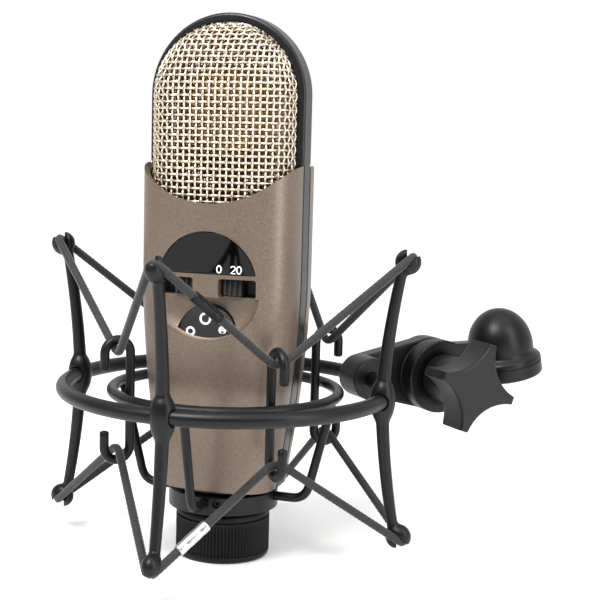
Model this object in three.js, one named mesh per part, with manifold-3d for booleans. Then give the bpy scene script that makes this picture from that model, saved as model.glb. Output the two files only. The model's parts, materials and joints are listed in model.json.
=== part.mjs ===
// Side-address condenser microphone in a spider shock mount with a swivel stand adapter.
// Millimetres, +Z up. The microphone stands on its clamp nut, its front faces -Y.
import * as THREE from 'three';
import * as BufferGeometryUtils from 'three/addons/utils/BufferGeometryUtils.js';
import Module from 'manifold-3d';

const wasm = await Module();
wasm.setup();

// ---------------------------------------------------------------- driving dimensions
const CLEARANCE = 0.35; // air between pieces that touch or slide on the real thing

// microphone body
const BODY_HALF_WIDTH = 28.5;
const BODY_HALF_DEPTH = 22;
const BODY_STANDOFF = 1.9; // air between the collar and the underside of the shells
const TAPER_START_Z = 100;
const TAPER_HEIGHT = 76;
const FOOT_SIDE_WALL = 7.9; // the body's foot is this much wider than the tail, each side
const FOOT_FRONT_WALL = 4.5;
const TAPER_POWER = 1.69;
const SECTION_POWER = 3.4; // superellipse: 2 is an ellipse, large is a box
const SHELL_WALL = 1.8;
const RIM_RADIUS = 37.6;
const RIM_LOW_Z = 127.3;
const HEAD_RISE = 36.5; // from the lowest point of the rim to the middle of the head's arch
const SPINE_HALF_THICKNESS = 3.9;
const ARCH_HALF_THICKNESS = 4.6;
const ARCH_WALL = 3;
const DECK_DROP = 3.3; // the deck that carries the capsule lies this far below the rim
const DECK_THICKNESS = 3;
const CAPSULE_WIRE_HOLE = 3;

// grille and capsule
const GRILLE_GAP = 0.5; // between the grille and the inside of the shells
const GRILLE_WALL = 1;
const GRILLE_TUCK = 1.8;
const INNER_MESH_GAP = 2.2;
const CAPSULE_RADIUS = 16.5;
const CAPSULE_THICKNESS = 8;
const CAPSULE_DROP = 5.8; // below the middle of the head's arch
const DIAPHRAGM_RADIUS = 13.5;
const DIAPHRAGM_THICKNESS = 0.6;
const SADDLE_RADIUS = 9;
const SADDLE_FOOT = 3;
const STEM_RADIUS = 5.5;

// controls on the front
const DISH_DROP = 27.3; // from the lowest point of the rim to the middle of the controls
const DISH_RADIUS = 20;
const DISH_DEPTH = 5.5;
const DISH_HEIGHT = 17;
const DISH_SHOULDER_DROP = 3;
const CONTROL_BLOCK_DEPTH = 7.8;
const CONTROL_BLOCK_MARGIN = 0.6;
const DIAL_BLOCK_MARGIN = 2.5;
const WINDOW_RADIUS = 18;
const WINDOW_CHORD_RISE = 3.4;
const WINDOW_THICKNESS = 1.2;
const SLOT_INNER_X = 4.6;
const SLOT_OUTER_X = 17.8;
const SLOT_DROP = 4.4; // the slots' lower edge, below the middle of the controls
const SLOT_HEIGHT = 6.4;
const SLOT_CORNER = 1;
const SLIDER_WIDTH = 7.6;
const SLIDER_HEIGHT = 5.4;
const SLIDER_SINK = 2.6; // below the front of the body
const SLIDER_THICKNESS = 4.4;
const SLIDER_RIDGES = 4;
const SLIDER_RIDGE_HEIGHT = 0.5;
const DIAL_RADIUS = 10.8;
const DIAL_DROP = 18.4;
const DIAL_SINK = 2.4;
const DIAL_THICKNESS = 3.2;
const DIAL_SHAFT_RADIUS = 3;

// boards and fasteners inside the body
const BOARD_HALF_THICKNESS = 0.8;
const BOARD_RISE = 4; // above the base disc
const SWITCH_HALF_HEIGHT = 3;
const SWITCH_OVERHANG = 0.5; // beyond the ends of its slot
const CAPACITOR_RADIUS = 5;
const CAPACITOR_LENGTH = 11;
const CAPACITOR_X = 9;
const CAPACITOR_RISE = 35.5; // above the underside of the shells
const POTENTIOMETER_HALF = 8;
const POTENTIOMETER_FRONT_Y = -9;
const SHAFT_DEPTH = 3; // how far the dial's shaft goes into the potentiometer
const SHELL_SCREW_HEAD = 1.9;
const SHELL_SCREW_SHANK = 1;
const SHELL_SCREW_INSET = 14; // from the ends of the rear shell
const SHELL_SCREW_SINK = 0.3;

// tail, connector and clamp nut
const TAIL_RADIUS = 13;
const TAIL_WALL = 3;
const TAIL_BOTTOM_Z = 1.4;
const TAIL_FLANGE_WIDTH = 2;
const TAIL_FLANGE_THICKNESS = 1.6;
const BASE_DISC_WIDTH = 3.5; // round the tail
const BASE_DISC_PROUD = 1.3; // below the shells
const BASE_DISC_THICKNESS = 3;
const XLR_FACE_Z = 13.5;
const XLR_LENGTH = 8;
const XLR_PIN_RADIUS = 1.2;
const XLR_PIN_LENGTH = 10;
const XLR_PIN_CIRCLE = 4.5;
const NUT_WALL = 3.55;
const NUT_HEIGHT = 16.9;
const NUT_CHAMFER = 1.5;
const WASHER_THICKNESS = 0.8;

// cradle: collar, legs, inner ring, hooks
const COLLAR_WALL = 6.35;
const COLLAR_HEIGHT = 6.2;
const LEG_RADIUS = 1.6;
const LEG_SPREAD = 11.3; // from the collar to where a leg turns upwards
const LEG_BEND = 5;
const LEG_DEPTH_IN_COLLAR = 3.5;
const LEG_TOP_INSET = 0.8; // inside the middle of the inner ring's tube
const GRUB_ANGLE = 0.24; // from the front leg, in radians
const GRUB_RADIUS = 1.4;
const GRUB_SINK = 1;
const GRUB_SEAT = 1.5; // wall left between a grub screw's hole and the tail
const INNER_RING_RADIUS = 40.5;
const INNER_RING_TUBE = 2;
const INNER_RING_Z = 59.6;
const HOOK_WIRE = 1.65;
const HOOK_BEND = 4.7;
const HOOK_TOP_BEND_Z = 75;
const HOOK_LOW_BEND_Z = 42.1;
const HOOK_FREE_LEG = 5.2;

// outer frame
const OUTER_RING_RADIUS = 57.8;
const OUTER_RING_TUBE = 2.7;
const OUTER_RING_Z = 60.8;
const ARM_BOW = 6.2; // how far the balls stand outside the ring
const ARM_TOP_Z = 110.9;
const ARM_LOW_Z = 11.5;
const ARM_ROOT_WIRE = 2.5;
const ARM_TIP_WIRE = 1.9;
const ARM_BOW_POWER = 1.7;
const BOSS_RADIUS = 5;
const BOSS_LENGTH = 14;
const BALL_RADIUS = 3.5;
const BALL_LENGTH = 9;
const ELASTIC_RADIUS = 1.5;
const ELASTIC_BEND = 5;
const HOOK_AIR = 1;
const FERRULE_LENGTH = 13;
const FERRULE_WALL = 0.5;
const UPPER_FERRULE_SHARE = 0.42; // how far from the front arm to the next hook
const LOWER_FERRULE_SHARE = 0.34;

// swivel and stand adapter, on the outer ring between the right and the rear arm
const SWIVEL_AZIMUTH = 45;
const SWIVEL_REACH = 30.2; // from the outer ring to the swivel axis
const SWIVEL_Z = 60;
const RING_CLAMP_RADIUS = 8;
const RING_CLAMP_LENGTH = 12;
const CLAMP_SCREW_RADIUS = 1.6;
const CLAMP_SCREW_LENGTH = 4.6;
const WEB_THICKNESS = 6.5;
const CLUTCH_RADIUS = 14;
const ARM_DISC_BACK = -9.5;
const ARM_DISC_FRONT = -2;
const FRICTION_THICKNESS = 1;
const LUG_FRONT = 6.2;
const BOLT_RADIUS = 3;
const BOLT_HEAD_RADIUS = 5.6;
const BOLT_HEAD_THICKNESS = 3.4;
const HUB_RADIUS = 9;
const KNOB_BACK = 18;
const KNOB_FRONT = 31;
const KNOB_TIP_RADIUS = 17;
const KNOB_WAIST_RADIUS = 9.4;
const KNOB_TIP_HALF_ANGLE = 0.09;
const KNOB_BORE_DEPTH = 14;
const KNOB_TURN = -20;
const ADAPTER_REACH = 31; // from the swivel axis to the middle of the thread's lower rim
const ADAPTER_DROP = 1.2;
const ADAPTER_TILT = 11;
const FLANGE_RADIUS = 15;
const FLANGE_HEIGHT = 9;
const DOME_RADIUS = 13;
const DOME_HEIGHT = 17.5;
const DOME_STRAIGHT_SHARE = 0.15; // the rest of the height is rounded
const NECK_LOW = -3.6;
const NECK_HIGH = 12.5;
const THREAD_RADIUS = 7.94; // 5/8 inch 27 stand thread
const INSERT_WALL = 1.66;
const INSERT_LENGTH = 16;

// worked-out values
const COLLAR_BOTTOM_Z = NUT_HEIGHT + WASHER_THICKNESS + 2 * CLEARANCE;
const COLLAR_TOP_Z = COLLAR_BOTTOM_Z + COLLAR_HEIGHT;
const BODY_BOTTOM_Z = COLLAR_TOP_Z + BODY_STANDOFF;
const BASE_DISC_BOTTOM_Z = BODY_BOTTOM_Z - BASE_DISC_PROUD;
const BASE_DISC_TOP_Z = BASE_DISC_BOTTOM_Z + BASE_DISC_THICKNESS;
const HEAD_CENTRE_Z = RIM_LOW_Z + HEAD_RISE;
const TOP_Z = HEAD_CENTRE_Z + BODY_HALF_WIDTH;
const DECK_TOP_Z = RIM_LOW_Z - DECK_DROP;
const CAPSULE_Z = HEAD_CENTRE_Z - CAPSULE_DROP;
const GRILLE_HALF_WIDTH = BODY_HALF_WIDTH - SHELL_WALL - GRILLE_GAP;
const GRILLE_HALF_DEPTH = BODY_HALF_DEPTH - SHELL_WALL - GRILLE_GAP;
const DISH_CENTRE_Z = RIM_LOW_Z - DISH_DROP;
const WINDOW_CHORD_Z = DISH_CENTRE_Z + WINDOW_CHORD_RISE;
const SLOT_BOTTOM_Z = DISH_CENTRE_Z - SLOT_DROP;
const SLOT_TOP_Z = SLOT_BOTTOM_Z + SLOT_HEIGHT;
const SLIDER_FACE_Y = -BODY_HALF_DEPTH + SLIDER_SINK;
const DIAL_CENTRE_Z = DISH_CENTRE_Z - DIAL_DROP;
const DIAL_FACE_Y = -BODY_HALF_DEPTH + DIAL_SINK;
const TAIL_BORE = TAIL_RADIUS - TAIL_WALL;
const TAIL_FLANGE_RADIUS = TAIL_RADIUS + TAIL_FLANGE_WIDTH;
const BASE_DISC_RADIUS = TAIL_RADIUS + BASE_DISC_WIDTH;
const NUT_RADIUS = TAIL_RADIUS + CLEARANCE + NUT_WALL;
const COLLAR_RADIUS = TAIL_RADIUS + CLEARANCE + COLLAR_WALL;
const LEG_LOW_RADIUS = COLLAR_RADIUS + LEG_SPREAD;
const LEG_LOW_Z = COLLAR_BOTTOM_Z + COLLAR_HEIGHT * 0.7;
const HOOK_ROD_RADIUS = INNER_RING_RADIUS - INNER_RING_TUBE - HOOK_WIRE - CLEARANCE;
const ARM_BALL_RADIUS = OUTER_RING_RADIUS + ARM_BOW;
const SWIVEL_RADIUS = OUTER_RING_RADIUS + SWIVEL_REACH;
const LUG_BACK = ARM_DISC_FRONT + FRICTION_THICKNESS + 2 * CLEARANCE;
const LUG_MIDDLE = (LUG_BACK + LUG_FRONT) / 2;
const INSERT_RADIUS = THREAD_RADIUS + INSERT_WALL;
const TAPER_WIDTH_LOSS = BODY_HALF_WIDTH - TAIL_RADIUS - FOOT_SIDE_WALL;
const TAPER_DEPTH_LOSS = BODY_HALF_DEPTH - TAIL_RADIUS - FOOT_FRONT_WALL;
const FAR = 80; // further than any piece of the microphone reaches, for cutting solids
const QUARTER = Math.PI / 2;
const EIGHTH = Math.PI / 4;

// ---------------------------------------------------------------- materials
function finish(color, roughness, metalness) {
  return new THREE.MeshStandardMaterial({ color, roughness, metalness });
}

const bronzePaint = finish(0x7b6b5e, 0.42, 0.55);
const blackLacquer = finish(0x1c1c1e, 0.38, 0.3);
const blackPlastic = finish(0x141415, 0.5, 0);
const satinBlack = finish(0x202022, 0.35, 0.4);
const nickelWire = finish(0xb9b0a0, 0.3, 0.9);
const goldFilm = finish(0xd0a548, 0.3, 0.9);
const brass = finish(0xb08a48, 0.35, 0.9);
const steel = finish(0x9a9b9d, 0.3, 0.9);
const glassyBlack = finish(0x0b0b0c, 0.12, 0);
const greenBoard = finish(0x24532f, 0.6, 0);
const capacitorBlue = finish(0x2b3f66, 0.5, 0);
const rubberCord = finish(0x171718, 0.8, 0);

// ---------------------------------------------------------------- helpers
const model = new THREE.Group();

function addPiece(name, geometry, material) {
  const mesh = new THREE.Mesh(geometry, material);
  mesh.name = name;
  model.add(mesh);
  return mesh;
}

// a geometry's corners merged, with nothing but positions on them
function merged(geometry) {
  const bare = geometry.clone();
  bare.deleteAttribute('normal');
  bare.deleteAttribute('uv');
  return BufferGeometryUtils.mergeVertices(bare, 1e-4);
}

// a closed three.js geometry as a manifold solid
function solid(geometry) {
  const closed = merged(geometry);
  const mesh = new wasm.Mesh({
    numProp: 3,
    vertProperties: new Float32Array(closed.attributes.position.array),
    triVerts: new Uint32Array(closed.index.array),
  });
  mesh.merge();
  return new wasm.Manifold(mesh);
}

// a manifold solid back as a three.js geometry
function geometryOf(manifold) {
  const mesh = manifold.getMesh();
  const geometry = new THREE.BufferGeometry();
  geometry.setAttribute('position', new THREE.BufferAttribute(new Float32Array(mesh.vertProperties), 3));
  geometry.setIndex(new THREE.BufferAttribute(new Uint32Array(mesh.triVerts), 1));
  geometry.computeVertexNormals();
  return geometry;
}

function box(x0, x1, y0, y1, z0, z1) {
  const geometry = new THREE.BoxGeometry(x1 - x0, y1 - y0, z1 - z0);
  return geometry.translate((x0 + x1) / 2, (y0 + y1) / 2, (z0 + z1) / 2);
}

// a turned solid about Z from a profile of [radius, z] pairs
function turned(profile, segments = 28) {
  const points = profile.map(([radius, z]) => new THREE.Vector2(radius, z));
  return new THREE.LatheGeometry(points, segments).rotateX(QUARTER);
}

function rod(radius, z0, z1, segments = 24) {
  return turned([[0, z0], [radius, z0], [radius, z1], [0, z1]], segments);
}

function tubeRing(inner, outer, z0, z1, segments = 28) {
  return turned([[inner, z0], [outer, z0], [outer, z1], [inner, z1], [inner, z0]], segments);
}

// a cylinder along Y between two depths
function rodY(radius, y0, y1, x, z, segments = 28) {
  return rod(radius, -y1, -y0, segments).rotateX(QUARTER).translate(x, 0, z);
}

// a front-elevation outline (x, z) given thickness along Y
function plateY(shape, y0, y1, curveSegments = 12) {
  const geometry = new THREE.ExtrudeGeometry(shape, { depth: y1 - y0, bevelEnabled: false, curveSegments });
  return geometry.rotateX(QUARTER).translate(0, y1, 0);
}

function torus(radius, tube, z, segments = 40, sides = 6) {
  const profile = [];
  for (let i = 0; i <= sides; i += 1) {
    const angle = (i / sides) * 2 * Math.PI;
    profile.push([radius + tube * Math.cos(angle), z + tube * Math.sin(angle)]);
  }
  return turned(profile, segments);
}

// a wire swept along a curve, its thickness set by a function of the way along
function wire(curve, radius, steps, sides = 6) {
  const section = new THREE.Shape();
  for (let i = 0; i < sides; i += 1) {
    const angle = (i / sides) * 2 * Math.PI;
    const x = radius * Math.cos(angle);
    const y = radius * Math.sin(angle);
    if (i === 0) section.moveTo(x, y);
    else section.lineTo(x, y);
  }
  return new THREE.ExtrudeGeometry(section, { steps, bevelEnabled: false, extrudePath: curve });
}

// ---------------------------------------------------------------- body form
function taper(z) {
  return Math.max(0, (TAPER_START_Z - z) / TAPER_HEIGHT) ** TAPER_POWER;
}

function halfWidth(z) {
  return BODY_HALF_WIDTH - TAPER_WIDTH_LOSS * taper(z);
}

function halfDepth(z) {
  return BODY_HALF_DEPTH - TAPER_DEPTH_LOSS * taper(z);
}

// turns a unit cylinder into the body's rounded-rectangle section, inset all round
function shapeSection(geometry, inset, widthAt, depthAt) {
  const position = geometry.attributes.position;
  for (let i = 0; i < position.count; i += 1) {
    const x = position.getX(i);
    const y = position.getY(i);
    const z = position.getZ(i);
    const reach = Math.hypot(x, y);
    const cos = reach > 0 ? x / reach : 0;
    const sin = reach > 0 ? y / reach : 0;
    const power = 2 / SECTION_POWER;
    position.setX(i, reach * Math.sign(cos) * Math.abs(cos) ** power * (widthAt(z) - inset));
    position.setY(i, reach * Math.sign(sin) * Math.abs(sin) ** power * (depthAt(z) - inset));
  }
  return geometry;
}

function bodyForm(inset, z0, z1, steps = 6, segments = 40) {
  const profile = [[0, z0]];
  for (let i = 0; i <= steps; i += 1) profile.push([1, z0 + ((z1 - z0) * i) / steps]);
  profile.push([0, z1]);
  return solid(shapeSection(turned(profile, segments), inset, halfWidth, halfDepth));
}

function headForm(inset, bottomZ, segments = 32) {
  const radius = GRILLE_HALF_WIDTH - inset;
  const profile = [[0, bottomZ], [1, bottomZ], [1, HEAD_CENTRE_Z]];
  const steps = 6;
  for (let i = 1; i <= steps; i += 1) {
    const angle = (QUARTER * i) / steps;
    profile.push([i === steps ? 0 : Math.cos(angle), HEAD_CENTRE_Z + radius * Math.sin(angle)]);
  }
  const width = () => GRILLE_HALF_WIDTH;
  const depth = () => GRILLE_HALF_DEPTH;
  return solid(shapeSection(turned(profile, segments), inset, width, depth));
}

// everything above the curved rim, grown or shrunk by an offset
function aboveRim(offset) {
  const radius = RIM_RADIUS + offset;
  const reach = BODY_HALF_DEPTH + 5;
  return solid(rodY(radius, -reach, reach, 0, RIM_LOW_Z + RIM_RADIUS, 48));
}

// ---------------------------------------------------------------- centre frame
function bodyOutline(inset, bottomZ) {
  const shape = new THREE.Shape();
  const steps = 6;
  const topRadius = BODY_HALF_WIDTH - inset;
  shape.moveTo(-(halfWidth(bottomZ) - inset), bottomZ);
  for (let i = 0; i <= steps; i += 1) {
    const z = bottomZ + ((TAPER_START_Z - bottomZ) * i) / steps;
    shape.lineTo(halfWidth(z) - inset, z);
  }
  shape.absarc(0, HEAD_CENTRE_Z, topRadius, 0, Math.PI, false);
  for (let i = steps; i > 0; i -= 1) {
    const z = bottomZ + ((TAPER_START_Z - bottomZ) * i) / steps;
    shape.lineTo(-(halfWidth(z) - inset), z);
  }
  return shape;
}

function centreFrame() {
  const deckBottom = DECK_TOP_Z - DECK_THICKNESS;
  const spine = solid(plateY(bodyOutline(0, BODY_BOTTOM_Z), -SPINE_HALF_THICKNESS, SPINE_HALF_THICKNESS));
  const arch = solid(plateY(bodyOutline(0, BODY_BOTTOM_Z), -ARCH_HALF_THICKNESS, ARCH_HALF_THICKNESS))
    .intersect(aboveRim(-CLEARANCE));
  const hollow = solid(plateY(bodyOutline(ARCH_WALL, BASE_DISC_TOP_Z), -FAR, FAR));
  const deckHeight = solid(box(-FAR, FAR, -FAR, FAR, deckBottom, DECK_TOP_Z));
  const deckForm = bodyForm(SHELL_WALL + CLEARANCE, deckBottom, DECK_TOP_Z, 1);
  const wireHole = solid(rod(CAPSULE_WIRE_HOLE, deckBottom - 1, DECK_TOP_Z + 1, 16));
  const base = solid(rod(BASE_DISC_RADIUS, BASE_DISC_BOTTOM_Z, BASE_DISC_TOP_Z, 40));
  const baseBore = solid(rod(TAIL_RADIUS + CLEARANCE, BASE_DISC_BOTTOM_Z - 1, BASE_DISC_TOP_Z + 3, 40));
  const frame = spine.add(arch).subtract(hollow).add(deckForm.intersect(deckHeight)).subtract(wireHole)
    .add(base).subtract(baseBore);
  addPiece('centre_frame', geometryOf(frame), blackLacquer);
}

// ---------------------------------------------------------------- shells
// the half of a form in front of (-1) or behind (+1) a plane at a distance from the middle
function halfSpace(side, distance) {
  const y0 = side < 0 ? -FAR : distance;
  const y1 = side < 0 ? -distance : FAR;
  return solid(box(-FAR, FAR, y0, y1, 0, TOP_Z + 10));
}

function plainShell(side) {
  const bodyTop = RIM_LOW_Z + 16;
  const outer = bodyForm(0, BODY_BOTTOM_Z, bodyTop);
  const inner = bodyForm(SHELL_WALL, BODY_BOTTOM_Z + SHELL_WALL, bodyTop + 5);
  const boreTop = BASE_DISC_TOP_Z + CLEARANCE;
  const floorBore = solid(rod(BASE_DISC_RADIUS + CLEARANCE, BODY_BOTTOM_Z - 5, boreTop, 40));
  return outer.subtract(inner).subtract(floorBore).subtract(aboveRim(0))
    .intersect(halfSpace(side, SPINE_HALF_THICKNESS + CLEARANCE));
}

// the arc-topped outline of the upper window, shrunk by an inset
function windowShape(inset) {
  const radius = WINDOW_RADIUS - inset;
  const chord = WINDOW_CHORD_Z + inset;
  const start = Math.asin((chord - DISH_CENTRE_Z) / radius);
  const shape = new THREE.Shape();
  shape.absarc(0, DISH_CENTRE_Z, radius, start, Math.PI - start, false);
  shape.closePath();
  return shape;
}

function windowForm(inset) {
  return solid(plateY(windowShape(inset), -BODY_HALF_DEPTH - 3, -BODY_HALF_DEPTH / 2, 20));
}

// the body's form round the controls, shrunk by an inset
function controlForm(inset) {
  return bodyForm(inset, DISH_CENTRE_Z - 2 * DISH_RADIUS, DISH_CENTRE_Z + 2 * DISH_RADIUS);
}

// the bowl under the switches: the lower part of an ellipsoid sunk into the front
function scoop() {
  const bowl = new THREE.SphereGeometry(1, 28, 20).scale(DISH_RADIUS, DISH_DEPTH, DISH_HEIGHT);
  bowl.translate(0, -BODY_HALF_DEPTH, DISH_CENTRE_Z - DISH_SHOULDER_DROP);
  const belowSlots = solid(box(-FAR, FAR, -FAR, 0, 0, SLOT_BOTTOM_Z));
  return solid(bowl).intersect(belowSlots);
}

function roundedSlot(x0, x1, z0, z1, y0, y1, radius) {
  const shape = new THREE.Shape();
  shape.moveTo(x0 + radius, z0);
  shape.lineTo(x1 - radius, z0);
  shape.absarc(x1 - radius, z0 + radius, radius, -QUARTER, 0, false);
  shape.absarc(x1 - radius, z1 - radius, radius, 0, QUARTER, false);
  shape.absarc(x0 + radius, z1 - radius, radius, QUARTER, Math.PI, false);
  shape.absarc(x0 + radius, z0 + radius, radius, Math.PI, Math.PI + QUARTER, false);
  shape.closePath();
  return plateY(shape, y0, y1, 3);
}

function slotForm(side) {
  const x0 = side < 0 ? -SLOT_OUTER_X : SLOT_INNER_X;
  const x1 = side < 0 ? -SLOT_INNER_X : SLOT_OUTER_X;
  const y0 = -BODY_HALF_DEPTH - 3;
  const y1 = -BODY_HALF_DEPTH + CONTROL_BLOCK_DEPTH + 3;
  return solid(roundedSlot(x0, x1, SLOT_BOTTOM_Z, SLOT_TOP_Z, y0, y1, SLOT_CORNER));
}

function dialPocket() {
  const back = DIAL_FACE_Y + DIAL_THICKNESS + CLEARANCE;
  const disc = rodY(DIAL_RADIUS + CLEARANCE, DIAL_FACE_Y - CLEARANCE, back, 0, DIAL_CENTRE_Z, 40);
  const shaft = rodY(DIAL_SHAFT_RADIUS + CLEARANCE, DIAL_FACE_Y, 0, 0, DIAL_CENTRE_Z, 20);
  return solid(disc).add(solid(shaft));
}

function frontShell() {
  const backOfBlock = -BODY_HALF_DEPTH + CONTROL_BLOCK_DEPTH;
  const blockForm = rodY(DISH_RADIUS + CONTROL_BLOCK_MARGIN, -FAR, backOfBlock, 0, DISH_CENTRE_Z, 56);
  const dialBlock = rodY(DIAL_RADIUS + DIAL_BLOCK_MARGIN, -FAR, backOfBlock, 0, DIAL_CENTRE_Z, 40);
  const block = solid(blockForm).add(solid(dialBlock)).intersect(controlForm(0.02));
  const windowPocket = windowForm(0).subtract(controlForm(WINDOW_THICKNESS + CLEARANCE));
  const shell = plainShell(-1).add(block)
    .subtract(scoop())
    .subtract(windowPocket)
    .subtract(slotForm(-1))
    .subtract(slotForm(1))
    .subtract(dialPocket());
  addPiece('front_shell', geometryOf(shell), bronzePaint);
}

function rearShell() {
  const screwHoles = shellScrewPlaces().map((z) => solid(rodY(SHELL_SCREW_HEAD, 0, FAR, 0, z, 20)));
  let shell = plainShell(1);
  for (const hole of screwHoles) shell = shell.subtract(hole);
  addPiece('rear_shell', geometryOf(shell), bronzePaint);
}

function shellScrewPlaces() {
  return [BODY_BOTTOM_Z + SHELL_SCREW_INSET, RIM_LOW_Z - SHELL_SCREW_INSET];
}

// the screws that hold the rear shell on, with their heads sunk in its wall
function shellScrews() {
  shellScrewPlaces().forEach((z, index) => {
    const face = halfDepth(z) - SHELL_SCREW_SINK;
    const head = rodY(SHELL_SCREW_HEAD - CLEARANCE, face - SHELL_WALL, face, 0, z, 20);
    const shank = rodY(SHELL_SCREW_SHANK, SPINE_HALF_THICKNESS + CLEARANCE, face - SHELL_WALL / 2, 0, z, 12);
    addPiece(`shell_screw_${index + 1}`, geometryOf(solid(head).add(solid(shank))), steel);
  });
}

function upperWindow() {
  const plate = windowForm(CLEARANCE)
    .intersect(controlForm(0))
    .subtract(controlForm(WINDOW_THICKNESS));
  addPiece('upper_window', geometryOf(plate), glassyBlack);
}

// ---------------------------------------------------------------- head
function grille(name, side, inset, tuck, material) {
  const outer = headForm(inset, RIM_LOW_Z - 12);
  const inner = headForm(inset + GRILLE_WALL, RIM_LOW_Z - 14);
  const cup = outer.subtract(inner)
    .intersect(aboveRim(tuck))
    .intersect(halfSpace(side, ARCH_HALF_THICKNESS + CLEARANCE));
  addPiece(name, geometryOf(cup), material);
}

function capsule() {
  const half = CAPSULE_THICKNESS / 2;
  addPiece('capsule_body', rodY(CAPSULE_RADIUS, -half, half, 0, CAPSULE_Z), brass);
  const near = half + CLEARANCE;
  const far = near + DIAPHRAGM_THICKNESS;
  addPiece('front_diaphragm', rodY(DIAPHRAGM_RADIUS, -far, -near, 0, CAPSULE_Z), goldFilm);
  addPiece('rear_diaphragm', rodY(DIAPHRAGM_RADIUS, near, far, 0, CAPSULE_Z), goldFilm);
  const seat = solid(rodY(CAPSULE_RADIUS + CLEARANCE, -FAR, FAR, 0, CAPSULE_Z));
  const foot = DECK_TOP_Z + CLEARANCE;
  const stemTop = CAPSULE_Z - CAPSULE_RADIUS / 2;
  const stem = solid(turned([[0, foot], [SADDLE_RADIUS, foot], [SADDLE_RADIUS, foot + SADDLE_FOOT],
    [STEM_RADIUS, foot + 2 * SADDLE_FOOT], [STEM_RADIUS, stemTop], [0, stemTop]], 24));
  const cheekTop = CAPSULE_Z - CAPSULE_RADIUS * 0.7;
  const cheeks = solid(box(-SADDLE_RADIUS, SADDLE_RADIUS, -half - 1, half + 1,
    foot + 4 * SADDLE_FOOT, cheekTop));
  addPiece('capsule_saddle', geometryOf(stem.add(cheeks).subtract(seat)), blackPlastic);
}

// ---------------------------------------------------------------- inside the body
function circuitBoard() {
  const inset = ARCH_WALL + CLEARANCE;
  const bottom = BASE_DISC_TOP_Z + BOARD_RISE;
  const outline = solid(plateY(bodyOutline(inset, bottom), -BOARD_HALF_THICKNESS, BOARD_HALF_THICKNESS));
  const top = DECK_TOP_Z - DECK_THICKNESS - CLEARANCE;
  const limits = solid(box(-FAR, FAR, -FAR, FAR, bottom, top));
  addPiece('circuit_board', geometryOf(outline.intersect(limits)), greenBoard);
  const face = BOARD_HALF_THICKNESS + CLEARANCE;
  for (const [index, x] of [-CAPACITOR_X, CAPACITOR_X].entries()) {
    const z = BODY_BOTTOM_Z + CAPACITOR_RISE;
    const can = rodY(CAPACITOR_RADIUS, face, face + CAPACITOR_LENGTH, x, z, 24);
    addPiece(`coupling_capacitor_${index + 1}`, can, capacitorBlue);
  }
}

function switchBody(name, side) {
  const middle = (side * (SLOT_INNER_X + SLOT_OUTER_X)) / 2;
  const half = (SLOT_OUTER_X - SLOT_INNER_X) / 2 + SWITCH_OVERHANG;
  const front = -BODY_HALF_DEPTH + CONTROL_BLOCK_DEPTH + CLEARANCE;
  const back = -BOARD_HALF_THICKNESS - CLEARANCE;
  const middleZ = (SLOT_BOTTOM_Z + SLOT_TOP_Z) / 2;
  const low = middleZ - SWITCH_HALF_HEIGHT;
  const high = middleZ + SWITCH_HALF_HEIGHT;
  addPiece(name, box(middle - half, middle + half, front, back, low, high), steel);
}

// a ridged switch button that slides across its slot, drawn as its plan (x, y)
function slider(name, side) {
  const inner = side < 0 ? -SLOT_INNER_X - CLEARANCE - SLIDER_WIDTH : SLOT_INNER_X + CLEARANCE;
  const low = (SLOT_BOTTOM_Z + SLOT_TOP_Z - SLIDER_HEIGHT) / 2;
  const back = SLIDER_FACE_Y + SLIDER_THICKNESS;
  const valley = SLIDER_FACE_Y + SLIDER_RIDGE_HEIGHT;
  const pitch = SLIDER_WIDTH / SLIDER_RIDGES;
  const shape = new THREE.Shape();
  shape.moveTo(inner + SLIDER_WIDTH, back);
  shape.lineTo(inner, back);
  for (let i = 0; i < SLIDER_RIDGES; i += 1) {
    shape.lineTo(inner + i * pitch, valley);
    shape.lineTo(inner + (i + 0.5) * pitch, SLIDER_FACE_Y);
  }
  shape.lineTo(inner + SLIDER_WIDTH, valley);
  shape.closePath();
  const button = new THREE.ExtrudeGeometry(shape, { depth: SLIDER_HEIGHT, bevelEnabled: false });
  addPiece(name, button.translate(0, 0, low), blackPlastic);
}

function patternDial() {
  const back = DIAL_FACE_Y + DIAL_THICKNESS;
  const disc = solid(rodY(DIAL_RADIUS, DIAL_FACE_Y, back, 0, DIAL_CENTRE_Z));
  const front = POTENTIOMETER_FRONT_Y;
  const shaftEnd = front + SHAFT_DEPTH;
  const shaft = solid(rodY(DIAL_SHAFT_RADIUS, DIAL_FACE_Y + 1, shaftEnd, 0, DIAL_CENTRE_Z, 20));
  addPiece('pattern_dial', geometryOf(disc.add(shaft)), blackPlastic);
  const half = POTENTIOMETER_HALF;
  const casing = solid(box(-half, half, front, -BOARD_HALF_THICKNESS - CLEARANCE,
    DIAL_CENTRE_Z - half, DIAL_CENTRE_Z + half));
  const bore = solid(rodY(DIAL_SHAFT_RADIUS + CLEARANCE, front - 1, shaftEnd + CLEARANCE, 0,
    DIAL_CENTRE_Z, 20));
  addPiece('pattern_potentiometer', geometryOf(casing.subtract(bore)), steel);
}

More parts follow.
